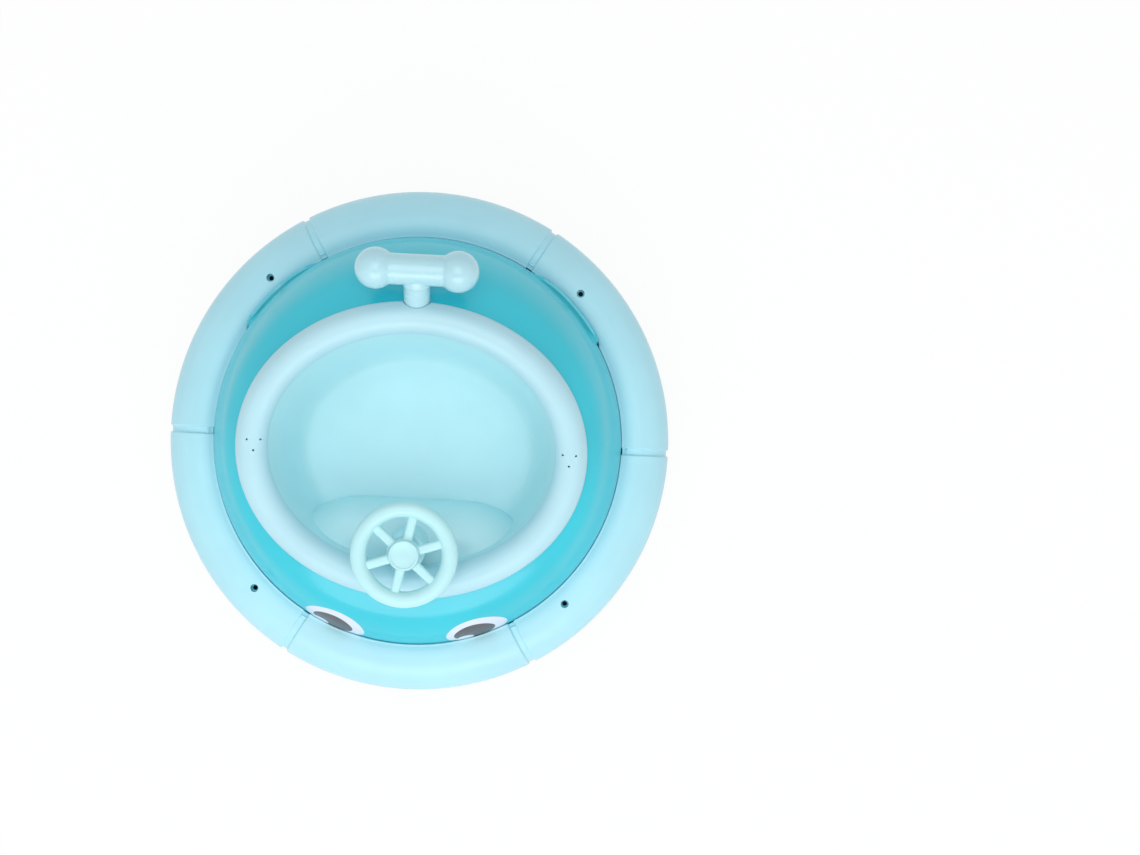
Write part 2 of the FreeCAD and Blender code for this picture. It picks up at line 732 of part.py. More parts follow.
EYE_TURN = 21.3
EYE_TILT = 20.0
eye_level = dim.ring_level + 20.3
skin = cut("eye_skin", body_loft("eye_skin_outer", 0.3), [body_outer])


def eye_prism(name, side, half_width, half_height, across=0.0, up=0.0):
    """An elliptical bar that points outwards through one eye."""
    turn = Rotation(Z_AXIS, side * EYE_TURN) * Rotation(X_AXIS, 90 - EYE_TILT)
    start, reach = 60.0, 50.0
    wall_reach = dim.body_radius.value - 4
    level = eye_level.value - (wall_reach - start) * math.tan(math.radians(EYE_TILT))
    azimuth = math.radians(side * EYE_TURN)
    middle = Vector(start * math.sin(azimuth), -start * math.cos(azimuth), level)
    at = middle + turn.multVec(Vector(across, up, 0))
    face = ellipse(name + "_face", half_width, half_height)
    face.Placement = Placement(at, turn)
    return extrude(name, face, reach, turn.multVec(Z_AXIS))


for word, side in (("left", -1), ("right", 1)):
    pupil = cut(word + "_pupil_bar", eye_prism(word + "_pupil_prism", side, 10.4, 7.9, 0, -0.8),
                [eye_prism(word + "_glint_prism", side, 4.2, 2.6, -6.0, -6.6)])
    keep(common("pupil_" + word, skin, pupil))
    keep(common("eye_white_" + word, skin,
                cut(word + "_white_bar", eye_prism(word + "_white_prism", side, 15.4, 10.8),
                    [pupil])))

# Tail handle

def tail_bar():
    """The grip: a bar with a ball at each end and soft necks, revolved round its own axis."""
    part = body("tail_bar")
    half, neck_round = dim.ball_spacing / 2, of(1.6)
    tip = half + dim.ball_radius
    reach, rise = dim.ball_radius + neck_round, dim.bar_radius + neck_round
    away = root(reach * reach - rise * rise)
    bar_end = half - away
    share = dim.ball_radius / reach
    ball_x, ball_y = half - away * share, rise * share
    section = outline(sketch("tail_section", part),
                      [(-tip, 0), (tip, 0), (ball_x, ball_y), (bar_end, dim.bar_radius),
                       (-bar_end, dim.bar_radius), (-ball_x, ball_y)],
                      {1: dim.ball_radius, 2: -neck_round, 4: -neck_round, 5: dim.ball_radius})
    revolve(part, "tail_turn", section, "H_Axis")
    return part


stem = rounded("tail_stem", cylinder("stem_blank", dim.stem_radius, dim.stem_length,
                                     (0, 0, -dim.stem_length)), 1.5,
               lambda edge: edge.CenterOfMass.z < -1 and edge.Length > 25)
TAIL_AT = (0, dim.tail_back, dim.tail_level)
TAIL_TURN = (X_AXIS, -dim.tail_lean)
keep(place(fuse("tail_handle", [tail_bar(), stem]), TAIL_AT, TAIL_TURN))
keep(along_tail("tail_plug", dim.plug_radius, stem_end, stem_end + dim.plug_length))
keep(cut("tail_socket", along_tail("socket_tube", dim.plug_radius + 1.7, stem_end + 0.4,
                                   socket_end),
         [along_tail("socket_bore", dim.plug_radius + dim.running_gap, stem_end,
                     stem_end + dim.plug_length + 0.2),
          along_tail("cord_hole", 0.8, stem_end, socket_end + 1)]))

# Drive: case, spring, drum and gears

def belt_outline(name, level_y, trim):
    """The case's outline: two circles, round the drum gear and the pinion, and their tangents."""
    drawing = sketch(name)
    big, small = case_drum_radius - trim, case_pinion_radius - trim
    centres = [(drum_side, dim.drum_level), (of(0), dim.propeller_level)]
    radii = [big, small]
    between = math.atan2(centres[1][1].value - centres[0][1].value,
                         centres[1][0].value - centres[0][0].value)
    open_angle = math.acos((big.value - small.value) / gear_distance.value)
    arcs = []
    for (x, z), radius, first, last in zip(
            centres, radii, (between + open_angle, between - open_angle),
            (between - open_angle + 2 * math.pi, between + open_angle)):
        circle = Part.Circle(Vector(x.value, z.value, 0), Z_AXIS, radius.value)
        arcs.append(drawing.addGeometry(Part.ArcOfCircle(circle, first, last)))
    ends = [drawing.Geometry[curve] for curve in arcs]
    lines = [drawing.addGeometry(Part.LineSegment(ends[0].EndPoint, ends[1].StartPoint)),
             drawing.addGeometry(Part.LineSegment(ends[1].EndPoint, ends[0].StartPoint))]
    for curve, point, other, other_point in ((arcs[0], 2, lines[0], 1), (lines[0], 2, arcs[1], 1),
                                             (arcs[1], 2, lines[1], 1), (lines[1], 2, arcs[0], 1)):
        drawing.addConstraint(Sketcher.Constraint("Tangent", curve, point, other, other_point))
    for curve, centre, radius in zip(arcs, centres, radii):
        index = drawing.addConstraint(Sketcher.Constraint("Radius", curve, radius.value))
        bind(drawing, "Constraints[%d]" % index, radius)
        pin_point(drawing, curve, 3, centre)
    return place(drawing, (0, level_y, 0), Rotation(X_AXIS, 90))


def case_half(name, start, hollow_start, ears):
    """One half of the drive case, a shell with two ears and the shafts' bearing holes."""
    half = dim.case_length / 2
    solids = [extrude(name + "_block", belt_outline(name + "_outer", start, of(0)), half, Y_AXIS)]
    holes = [extrude(name + "_space", belt_outline(name + "_inner", hollow_start, dim.case_wall),
                     half - dim.case_wall, Y_AXIS),
             along_y(name + "_drum_hole", dim.drum_shaft_radius + dim.running_gap,
                     dim.case_length + 2, drum_side, -1, dim.drum_level),
             along_y(name + "_shaft_hole", dim.shaft_radius + dim.running_gap,
                     dim.case_length + 2, 0, -1, dim.propeller_level)]
    for number, (x, y) in enumerate(ears):
        left = number == 0
        reach = ear_right - case_pinion_radius + 2.5 if not left else of(10.2)
        solids += [cylinder("%s_ear_%d" % (name, number), 3.2, ear_high - ear_low,
                            (x, y, ear_low)),
                   box("%s_arm_%d" % (name, number), (reach, 6.4, ear_high - ear_low),
                       (x if left else x - reach, y - 3.2, ear_low))]
        holes.append(cylinder("%s_ear_hole_%d" % (name, number), 1.1, 8, (x, y, 6)))
    return keep(cut(name, fuse(name + "_solid", solids), holes))


case_half("drive_case_front", of(0), dim.case_wall, EAR_PLACES[:2])
case_half("drive_case_rear", dim.case_length / 2, dim.case_length / 2, EAR_PLACES[2:])
keep(group("case_screws", [
    fuse("case_screw_%d" % number, [
        cylinder("case_screw_head_%d" % number, 1.9, 1.5, (x, y, ear_high)),
        cylinder("case_screw_shank_%d" % number, 0.9, 6.5, (x, y, ear_high - 6.5))])
    for number, (x, y) in enumerate(EAR_PLACES)]))

spring_start = dim.case_wall
keep(cut("mainspring", along_y("spring_outer", 15, 5, drum_side, spring_start, dim.drum_level),
         [along_y("spring_bore", 5, 9, drum_side, spring_start - 2, dim.drum_level)]))


def gear(name, teeth, start, x, z, shaft, phase):
    """A spur gear: a disc, one tooth with near-involute flanks, and a pattern of it."""
    part = body(name + "_blank")
    pitch = dim.gear_module * teeth / 2
    tip, foot = pitch + dim.gear_module * 0.8, pitch - dim.gear_module * 1.05
    pressure = math.radians(25)
    slack = 0.16
    pitch_value = teeth / 2 * dim.gear_module.value
    base_value = pitch_value * math.cos(pressure)

    def half_angle(radius):
        """Half of the tooth's angle at a radius, from the involute of the base circle."""
        lean = math.acos(min(1.0, base_value / radius))
        share = (math.pi / 2 * dim.gear_module.value - slack) / (2 * pitch_value)
        return math.degrees(share + (math.tan(pressure) - pressure) - (math.tan(lean) - lean))

    flank = [(radius, half_angle(radius.value)) for radius in (foot, pitch, tip)]
    inside = foot - 0.6
    side = [(inside, flank[0][1])] + flank
    corners = [on_circle(radius, phase - angle) for radius, angle in side]
    corners += [on_circle(radius, phase + angle) for radius, angle in reversed(side)]
    pad(part, name + "_disc", disc(sketch(name + "_rim", part), foot), dim.gear_width)
    tooth = pad(part, name + "_tooth", outline(sketch(name + "_flank", part), corners),
                dim.gear_width)
    repeat(part, name + "_teeth", tooth, teeth)
    wheel_solid = cut(name, part, [cylinder(name + "_bore", shaft, 20, (0, 0, -5))])
    return keep(place(wheel_solid, (x, start, z), Rotation(X_AXIS, -90)))


gear_start = of(31.5)
gear("drum_gear", DRUM_TEETH, gear_start, drum_side, dim.drum_level,
     dim.drum_shaft_radius + dim.running_gap, gear_phase)
gear("prop_pinion", PINION_TEETH, gear_start, of(0), dim.propeller_level, dim.shaft_radius,
     gear_phase + 180 + 180 / PINION_TEETH)

drum_start, drum_length, cheek = of(8.0), of(22.0), of(1.5)
drum_solids = [along_y("drum_core_solid", dim.drum_core, drum_length, drum_side, drum_start,
                       dim.drum_level),
               along_y("drum_front_cheek", dim.drum_core + 4, cheek, drum_side, drum_start,
                       dim.drum_level),
               along_y("drum_rear_cheek", dim.drum_core + 4, cheek, drum_side,
                       drum_start + drum_length - cheek, dim.drum_level)]
keep(cut("cord_drum", fuse("drum_solid", drum_solids),
         [along_y("drum_bore", dim.drum_shaft_radius, 30, drum_side, 5, dim.drum_level)]))
keep(along_y("drum_shaft", dim.drum_shaft_radius, dim.case_length - 0.6, drum_side, 0.3,
             dim.drum_level))

# Stern gear: bush, seal, shaft, propeller and its guard

shaft_end = dim.propeller_back + 3.5
keep(along_y("prop_shaft", dim.shaft_radius, shaft_end - 0.3, 0, 0.3, dim.propeller_level))
bush_start, seal_thick = of(69.0), of(2.0)
keep(cut("stern_bush", along_y("bush_tube", bush_radius, 13, 0, bush_start, dim.propeller_level),
         [along_y("bush_bore", dim.shaft_radius + dim.running_gap, 20, 0, bush_start - 3,
                  dim.propeller_level)]))
keep(cut("stern_seal", along_y("seal_ring", bush_radius - 0.3, seal_thick, 0,
                               bush_start - seal_thick, dim.propeller_level),
         [along_y("seal_bore", dim.shaft_radius + dim.running_gap, 20, 0, bush_start - 9,
                  dim.propeller_level)]))


def propeller():
    """Three twisted blades, each a loft from root to tip, on a hub round the shaft."""
    solids = [cylinder("propeller_hub", 3.2, 7, (0, 0, -3.5))]
    for blade in range(3):
        around = Rotation(Z_AXIS, 120 * blade)
        sections = []
        for share, half_chord, half_thick, pitch in ((0.25, 2.6, 0.85, 52), (0.6, 4.0, 0.7, 38),
                                                     (0.97, 3.0, 0.45, 28)):
            section = ellipse("blade_%d_at_%d" % (blade, 100 * share), half_chord, half_thick)
            reach = dim.propeller_radius.value * share
            spin = around * Rotation(Y_AXIS, 90) * Rotation(Z_AXIS, pitch + 90)
            section.Placement = Placement(around.multVec(Vector(reach, 0, 0)), spin)
            sections.append(section)
        solids.append(loft("blade_%d" % blade, sections))
    solid = cut("propeller", fuse("propeller_solid", solids),
                [cylinder("propeller_bore", dim.shaft_radius, 20, (0, 0, -10))])
    return keep(place(solid, (0, dim.propeller_back, dim.propeller_level),
                      Rotation(X_AXIS, -90)))


propeller()
guard_start, guard_bore = of(80.0), dim.propeller_radius + 1.3
guard_tube = along_y("guard_tube", guard_bore + 1.5, 18, 0, guard_start, dim.propeller_level)
keep(cut("propeller_guard", guard_tube,
         [along_y("guard_hole", guard_bore, 30, 0, guard_start - 5, dim.propeller_level),
          hull_block()]))

keep(cut("ballast_weight", cylinder("ballast_disc", 18, 6, (*ballast_at, dim.wall)),
         [cylinder("ballast_bore", 3.0, 10, (*ballast_at, 0))]))


def write_pieces():
    """Check every object, then write one file for each piece."""
    doc.recompute()
    failed = [obj.Label for obj in doc.Objects if {"Invalid", "Error"} & set(obj.State)]
    for obj in PIECES:
        if obj.Shape.isNull() or not obj.Shape.isValid() or not obj.Shape.Solids:
            failed.append(obj.Label)
    if failed:
        raise RuntimeError("not built: " + ", ".join(failed))
    os.makedirs("parts", exist_ok=True)
    for obj in PIECES:
        obj.Shape.exportStep(os.path.join("parts", obj.Label + ".step"))
        limits = obj.Shape.BoundBox
        print("%-18s solids %d  volume %9.1f  x %.1f..%.1f  y %.1f..%.1f  z %.1f..%.1f" % (
            obj.Label, len(obj.Shape.Solids), obj.Shape.Volume, limits.XMin, limits.XMax,
            limits.YMin, limits.YMax, limits.ZMin, limits.ZMax))


write_pieces()
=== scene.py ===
import json
import math

import bmesh
import bpy
from bpy.props import FloatProperty, FloatVectorProperty, PointerProperty
from mathutils import Matrix, Vector
from mathutils.bvhtree import BVHTree


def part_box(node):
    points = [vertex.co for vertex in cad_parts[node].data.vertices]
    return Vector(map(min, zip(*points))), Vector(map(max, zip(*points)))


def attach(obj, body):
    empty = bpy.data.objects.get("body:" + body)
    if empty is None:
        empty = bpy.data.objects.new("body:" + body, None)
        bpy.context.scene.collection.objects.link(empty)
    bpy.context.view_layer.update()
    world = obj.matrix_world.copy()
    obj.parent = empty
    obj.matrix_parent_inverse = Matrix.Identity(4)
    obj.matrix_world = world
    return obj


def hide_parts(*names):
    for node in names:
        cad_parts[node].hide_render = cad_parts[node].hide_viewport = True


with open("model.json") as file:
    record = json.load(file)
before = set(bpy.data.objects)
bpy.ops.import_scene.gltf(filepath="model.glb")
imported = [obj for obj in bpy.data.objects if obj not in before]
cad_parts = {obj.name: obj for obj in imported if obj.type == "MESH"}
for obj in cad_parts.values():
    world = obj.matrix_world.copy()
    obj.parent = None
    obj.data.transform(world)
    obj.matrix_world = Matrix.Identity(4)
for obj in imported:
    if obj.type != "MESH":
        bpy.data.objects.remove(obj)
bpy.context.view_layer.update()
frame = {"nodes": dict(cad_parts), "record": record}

bl_info = {
    "name": "Bath boat",
    "version": (1, 0, 0),
    "blender": (4, 5, 0),
    "location": "View3D > Sidebar > Bath boat",
    "description": "Models and finishes a round floating bath boat round its packed frame",
    "category": "Object",
}

MM = 0.001

# Sizes that follow from the frame

RING_LOW, RING_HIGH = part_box("ring_upper_shell")
RING_LEVEL = RING_LOW[2]
RING_TUBE = RING_HIGH[2] - RING_LOW[2]
RING_RADIUS = (RING_HIGH[0] - RING_LOW[0]) / 2
RING_MIDDLE = RING_RADIUS - RING_TUBE
FOOT_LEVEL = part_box("hull_lower_shell")[0][2]
BAR_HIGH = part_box("tail_handle")[1]
WALL = 2 * MM


def joint_frame(name):
    """A joint's pivot and direction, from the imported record."""
    for joint in frame["record"]["behaviour"]["joints"]:
        if joint["name"] == name:
            return Vector(joint.get("pos_m", (0, 0, 0))), Vector(joint["axis"]).normalized()
    raise ValueError("no joint named " + name)


WHEEL_CENTRE, WHEEL_AXIS = joint_frame("wheel_turn")
TAIL_AXIS = joint_frame("tail_pull")[1]


class BoatSizes(bpy.types.PropertyGroup):
    """Sizes of the visible pieces that a user would change."""

    ring_bore: FloatProperty(name="Ring bore", description="Radius of the ring's inner wall",
                             default=97.0 * MM, unit="LENGTH")
    groove_width: FloatProperty(name="Groove width", description="Width of a groove in the ring",
                                default=3.2 * MM, unit="LENGTH")
    groove_depth: FloatProperty(name="Groove depth", description="Depth of a groove in the ring",
                                default=1.0 * MM, unit="LENGTH")
    well_radius: FloatProperty(name="Well radius", description="Radius of a screw well",
                               default=1.9 * MM, unit="LENGTH")
    deck_lean: FloatProperty(name="Deck lean", description="Forward lean of the cockpit's rim",
                             default=math.radians(11.5), subtype="ANGLE")
    coaming_tube: FloatProperty(name="Coaming", description="Half width of the cockpit's rim",
                                default=7.5 * MM, unit="LENGTH")
    wheel_rim: FloatProperty(name="Wheel rim", description="Radius to the middle of the rim",
                             default=20.8 * MM, unit="LENGTH")
    wheel_tube: FloatProperty(name="Wheel tube", description="Half thickness of the rim",
                              default=3.75 * MM, unit="LENGTH")


class BoatColours(bpy.types.PropertyGroup):
    """Base colours of the moulded plastics and the prints; the coaming's and the tub's hold
    painted shade and painted light.
    """

    ring: FloatVectorProperty(name="Ring", description="Float ring", subtype="COLOR",
                              default=(0.43, 0.76, 0.85))
    body: FloatVectorProperty(name="Body", description="Hull and upper body", subtype="COLOR",
                              default=(0.022, 0.55, 0.67))
    # Coaming and tub are one plastic. The coaming's colour is made darker, painted shade that
    # offsets the direct light on it, and the tub's lighter, painted light that offsets the shade
    # in the bowl.
    coaming: FloatVectorProperty(name="Coaming", description="Rim of the cockpit",
                                 subtype="COLOR", default=(0.46, 0.72, 0.80))
    tub: FloatVectorProperty(name="Tub", description="Tub, console and column",
                             subtype="COLOR", default=(0.52, 0.83, 0.88))
    wheel: FloatVectorProperty(name="Wheel", description="Steering wheel", subtype="COLOR",
                               default=(0.49, 0.81, 0.84))
    handle: FloatVectorProperty(name="Handle", description="Tail handle", subtype="COLOR",
                                default=(0.435, 0.71, 0.78))
    eye_white: FloatVectorProperty(name="Eye white", description="White of the eyes",
                                   subtype="COLOR", default=(0.68, 0.76, 0.86))
    pupil: FloatVectorProperty(name="Pupil", description="Dark of the eyes", subtype="COLOR",
                               default=(0.085, 0.08, 0.095))


def sizes():
    return bpy.context.scene.boat_sizes


def colours():
    return bpy.context.scene.boat_colours


# Materials

def shader_group(name, inputs, outputs):
    """A new shader node group with named sockets; hands back its tree and its two ends."""
    tree = bpy.data.node_groups.new(name, "ShaderNodeTree")
    for label, kind, value in inputs:
        socket = tree.interface.new_socket(label, in_out="INPUT", socket_type=kind)
        socket.default_value = value
    for label, kind in outputs:
        tree.interface.new_socket(label, in_out="OUTPUT", socket_type=kind)
    return tree, tree.nodes.new("NodeGroupInput"), tree.nodes.new("NodeGroupOutput")


def node(tree, kind, **settings):
    """A node with its properties and sockets set; a socket's name has _ for a space."""
    made = tree.nodes.new(kind)
    for label, value in settings.items():
        if hasattr(made, label):
            setattr(made, label, value)
        else:
            made.inputs[label.replace("_", " ")].default_value = value
    return made


def link(tree, source, target):
    tree.links.new(source, target)


def multiply_add(tree, value, factor, added=0.0):
    """value x factor + added, each a socket or a plain number."""
    step = node(tree, "ShaderNodeMath", operation="MULTIPLY_ADD")
    for target, item in zip(step.inputs, (value, factor, added)):
        if isinstance(item, bpy.types.NodeSocket):
            link(tree, item, target)
        else:
            target.default_value = item
    return step.outputs["Value"]


def remap(tree, source, low, high, to_low, to_high):
    """A value moved from one range to another, clamped."""
    step = node(tree, "ShaderNodeMapRange", From_Min=low, From_Max=high, To_Min=to_low,
                To_Max=to_high)
    link(tree, source, step.inputs["Value"])
    return step.outputs["Result"]


def mix_colours(tree, share, first, second):
    """A blend of two colours; each is a socket or a plain colour."""
    blend = node(tree, "ShaderNodeMix", data_type="RGBA")
    link(tree, share, blend.inputs["Factor"])
    for label, colour in (("A", first), ("B", second)):
        socket = [item for item in blend.inputs if item.name == label and item.type == "RGBA"][0]
        if isinstance(colour, bpy.types.NodeSocket):
            link(tree, colour, socket)
        else:
            socket.default_value = colour
    return [item for item in blend.outputs if item.type == "RGBA"][0]


def moulded_skin():
    """Injection moulded plastic: cloudy colour, fine grain, handling haze and rubbed edges."""
    name = "moulded_skin"
    if name in bpy.data.node_groups:
        return bpy.data.node_groups[name]
    tree, ends, out = shader_group(
        name,
        [("Colour", "NodeSocketColor", (0.5, 0.8, 0.9, 1)), ("Cloud", "NodeSocketFloat", 0.06),
         ("Roughness", "NodeSocketFloat", 0.35), ("Haze", "NodeSocketFloat", 0.1),
         ("Wear", "NodeSocketFloat", 0.1)],
        [("Colour", "NodeSocketColor"), ("Roughness", "NodeSocketFloat"),
         ("Height", "NodeSocketFloat")])
    place = node(tree, "ShaderNodeTexCoord")
    clouds = node(tree, "ShaderNodeTexNoise", Scale=22.0, Detail=3.0, Roughness=0.55)
    grain = node(tree, "ShaderNodeTexNoise", Scale=1500.0, Detail=2.0, Roughness=0.5)
    ripple = node(tree, "ShaderNodeTexNoise", Scale=70.0, Detail=1.0, Roughness=0.4)
    smears = node(tree, "ShaderNodeTexNoise", Scale=45.0, Detail=5.0, Roughness=0.65,
                  Distortion=0.8)
    for texture in (clouds, grain, ripple, smears):
        link(tree, place.outputs["Object"], texture.inputs["Vector"])
    shade = node(tree, "ShaderNodeHueSaturation")
    link(tree, ends.outputs["Colour"], shade.inputs["Color"])
    centred = remap(tree, clouds.outputs["Fac"], 0.3, 0.7, -1.0, 1.0)
    link(tree, multiply_add(tree, centred, ends.outputs["Cloud"], 1.0), shade.inputs["Value"])
    geometry = node(tree, "ShaderNodeNewGeometry")
    edge = remap(tree, geometry.outputs["Pointiness"], 0.52, 0.62, 0.0, 1.0)
    worn = multiply_add(tree, edge, ends.outputs["Wear"])
    link(tree, mix_colours(tree, worn, shade.outputs["Color"], (0.9, 0.97, 1, 1)),
         out.inputs["Colour"])
    smeared = remap(tree, smears.outputs["Fac"], 0.42, 0.72, 0.0, 1.0)
    link(tree, multiply_add(tree, smeared, ends.outputs["Haze"], ends.outputs["Roughness"]),
         out.inputs["Roughness"])
    link(tree, multiply_add(tree, ripple.outputs["Fac"], 2.5, grain.outputs["Fac"]),
         out.inputs["Height"])
    return tree


def finish_material(name, group, values, shader, bump):
    """A material whose group feeds the shader; the shader's constants are its own."""
    if name in bpy.data.materials:
        return bpy.data.materials[name]
    material = bpy.data.materials.new(name)
    material.use_nodes = True
    tree = material.node_tree
    surface = tree.nodes["Principled BSDF"]
    for label, value in shader.items():
        surface.inputs[label].default_value = value
    skin = tree.nodes.new("ShaderNodeGroup")
    skin.node_tree = group
    for label, value in values.items():
        skin.inputs[label].default_value = value
    link(tree, skin.outputs["Colour"], surface.inputs["Base Color"])
    link(tree, skin.outputs["Roughness"], surface.inputs["Roughness"])
    relief = node(tree, "ShaderNodeBump", Strength=bump, Distance=0.0001)
    link(tree, skin.outputs["Height"], relief.inputs["Height"])
    link(tree, relief.outputs["Normal"], surface.inputs["Normal"])
    return material


def plastic(name, colour, roughness=0.34, cloud=0.035, haze=0.10, wear=0.12, bump=0.12,
            coat=0.12):
    values = {"Colour": (*colour, 1), "Cloud": cloud, "Roughness": roughness, "Haze": haze,
              "Wear": wear}
    shader = {"IOR": 1.46, "Coat Weight": coat, "Coat Roughness": 0.12,
              "Specular IOR Level": 0.45}
    return finish_material(name, moulded_skin(), values, shader, bump)


def turned_metal():
    """Metal with fine lines round its axis, stains and a little colour change."""
    name = "turned_metal"
    if name in bpy.data.node_groups:
        return bpy.data.node_groups[name]
    tree, ends, out = shader_group(
        name,
        [("Colour", "NodeSocketColor", (0.6, 0.6, 0.6, 1)), ("Roughness", "NodeSocketFloat", 0.3),
         ("Stain", "NodeSocketFloat", 0.2)],
        [("Colour", "NodeSocketColor"), ("Roughness", "NodeSocketFloat"),
         ("Height", "NodeSocketFloat")])
    place = node(tree, "ShaderNodeTexCoord")
    lines = node(tree, "ShaderNodeTexNoise", Scale=2600.0, Detail=2.0)
    stains = node(tree, "ShaderNodeTexNoise", Scale=240.0, Detail=4.0, Roughness=0.6)
    for texture in (lines, stains):
        link(tree, place.outputs["Object"], texture.inputs["Vector"])
    stained = remap(tree, stains.outputs["Fac"], 0.4, 0.7, 0.0, 1.0)
    amount = multiply_add(tree, stained, ends.outputs["Stain"])
    link(tree, mix_colours(tree, amount, ends.outputs["Colour"], (0.12, 0.11, 0.10, 1)),
         out.inputs["Colour"])
    link(tree, multiply_add(tree, lines.outputs["Fac"], 0.18, ends.outputs["Roughness"]),
         out.inputs["Roughness"])
    link(tree, lines.outputs["Fac"], out.inputs["Height"])
    return tree


def metal(name, colour, roughness=0.28, stain=0.25):
    values = {"Colour": (*colour, 1), "Roughness": roughness, "Stain": stain}
    return finish_material(name, turned_metal(), values, {"Metallic": 1.0}, 0.15)


PLASTICS = {"ring": {"roughness": 0.36}, "body": {"roughness": 0.32, "coat": 0.45},
            "coaming": {"roughness": 0.36}, "tub": {"roughness": 0.40},
            "wheel": {"roughness": 0.33}, "handle": {"roughness": 0.22, "coat": 0.45}}


def part_plastic(part):
    """The moulded plastic of a part, in that part's colour from the panel."""
    return plastic(part + "_plastic", getattr(colours(), part), **PLASTICS[part])


def acetal():
    return plastic("natural_acetal", (0.78, 0.78, 0.72), roughness=0.45, coat=0.0)


def soft_rubber():
    return plastic("soft_rubber", (0.03, 0.03, 0.033), roughness=0.7, cloud=0.15, haze=0.15,
                   coat=0.0, bump=0.4)


# Mesh helpers

def plain_mesh(bm, name):
    """The mesh as it stands, its faces left the way they point."""
    mesh = bpy.data.meshes.new(name)
    bm.to_mesh(mesh)
    bm.free()
    return mesh


def shade(mesh, sharp_from):
    """Smooth shading, but for the edges sharper than an angle in degrees."""
    mesh.shade_smooth()
    mesh.set_sharp_from_angle(angle=math.radians(sharp_from))
    return mesh


def smooth_mesh(bm, name, sharp_from=40):
    """The finished mesh: doubles merged, faces outward, smooth but for its sharp edges."""
    bmesh.ops.remove_doubles(bm, verts=bm.verts, dist=0.01 * MM)
    bmesh.ops.recalc_face_normals(bm, faces=bm.faces)
    return shade(plain_mesh(bm, name), sharp_from)


def face_away(bm, middle):
    """Turn an open skin's faces away from a point inside it."""
    bmesh.ops.recalc_face_normals(bm, faces=bm.faces)
    away = sum(face.normal.dot(face.calc_center_median() - middle) for face in bm.faces)
    if away < 0:
        bmesh.ops.reverse_faces(bm, faces=bm.faces[:])


def add_piece(name, mesh, material, body, replaces=()):
    """Put a finished mesh in the scene, riding on a body, in place of the nodes it stands for."""
    piece = bpy.data.objects.new(name, mesh)
    bpy.context.scene.collection.objects.link(piece)
    mesh.materials.clear()
    mesh.materials.append(material)
    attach(piece, body)
    if replaces:
        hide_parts(*replaces)
    return piece


def append_mesh(bm, mesh):
    """Add a mesh's faces to a bmesh, and drop the mesh."""
    bm.from_mesh(mesh)
    bpy.data.meshes.remove(mesh)


def joined(*meshes):
    """A new bmesh holding the faces of some meshes, which are dropped."""
    bm = bmesh.new()
    for mesh in meshes:
        append_mesh(bm, mesh)
    return bm


def arc(x, z, radius, start, end, steps):
    """Points of an arc in a section plane, angles in degrees from the outward side."""
    turns = [math.radians(start + (end - start) * step / steps) for step in range(steps + 1)]
    return [(x + radius * math.cos(turn), z + radius * math.sin(turn)) for turn in turns]


def spun(section, steps=96, matrix=None):
    """A bmesh turned round Z from points (radius, height), closed where it meets the axis."""
    bm = bmesh.new()
    verts = [bm.verts.new((radius, 0, height)) for radius, height in section]
    edges = [bm.edges.new(pair) for pair in zip(verts, verts[1:])]
    bmesh.ops.spin(bm, geom=verts + edges, cent=(0, 0, 0), axis=(0, 0, 1), dvec=(0, 0, 0),
                   angle=math.tau, steps=steps, use_merge=True)
    bmesh.ops.remove_doubles(bm, verts=bm.verts, dist=0.001 * MM)
    if matrix:
        bmesh.ops.transform(bm, matrix=matrix, verts=bm.verts)
    return bm


def skinned(stations, around, point, closed=False):
    """A skin pulled through rings: one ring extruded from station to station.

    point(station, share) gives a place on a ring, share running from 0 to 1 round it.
    """
    bm = bmesh.new()
    bmesh.ops.create_circle(bm, segments=around, radius=1)
    share = bm.verts.layers.float.new("share")
    for number, vert in enumerate(bm.verts):
        vert[share] = number / around
        vert.co = point(stations[0], vert[share])
    edges = bm.edges[:]
    for station in stations[1:]:
        made = bmesh.ops.extrude_edge_only(bm, edges=edges)["geom"]
        edges = [item for item in made if isinstance(item, bmesh.types.BMEdge)]
        for vert in (item for item in made if isinstance(item, bmesh.types.BMVert)):
            vert.co = point(station, vert[share])
    if closed:
        bmesh.ops.remove_doubles(bm, verts=bm.verts, dist=0.001 * MM)
    return bm


def cap_ends(bm):
    """Close every open ring with a face."""
    edges = [edge for edge in bm.edges if edge.is_boundary]
    bmesh.ops.holes_fill(bm, edges=edges, sides=0)


def carved(mesh, *cutters):
    """A mesh with closed cutter meshes taken away, as a new mesh."""
    target = bpy.data.objects.new("carve_target", mesh)
    tool_mesh = plain_mesh(joined(*cutters), "carve_tool")
    tool = bpy.data.objects.new("carve_tool", tool_mesh)
    for item in (target, tool):
        bpy.context.scene.collection.objects.link(item)
    step = target.modifiers.new("carve", "BOOLEAN")
    step.operation = "DIFFERENCE"
    step.solver = "EXACT"
    step.object = tool
    bpy.context.view_layer.update()
    graph = bpy.context.evaluated_depsgraph_get()
    result = bpy.data.meshes.new_from_object(target.evaluated_get(graph))
    for item in (target, tool):
        bpy.data.objects.remove(item)
    bpy.data.meshes.remove(tool_mesh)
    return result


def rod(radius, low, high, matrix=None, steps=32):
    """A closed cylinder mesh along Z between two heights."""
    bm = spun([(0, low), (radius, low), (radius, high), (0, high)], steps, matrix)
    return smooth_mesh(bm, "rod", 30)


def spline(values, share):
    """A smooth curve through evenly numbered values (Catmull-Rom), share from 0 to 1."""
    last = len(values) - 1
    place = min(share * last, last - 1e-9)
    index = int(place)
    part = place - index
    before = values[max(index - 1, 0)]
    start, end = values[index], values[index + 1]
    after = values[min(index + 2, last)]
    return tuple(0.5 * ((2 * b) + (c - a) * part + (2 * a - 5 * b + 4 * c - d) * part ** 2
                        + (3 * b - a - 3 * c + d) * part ** 3)
                 for a, b, c, d in zip(before, start, end, after))


# Frame of the leaning cockpit rim

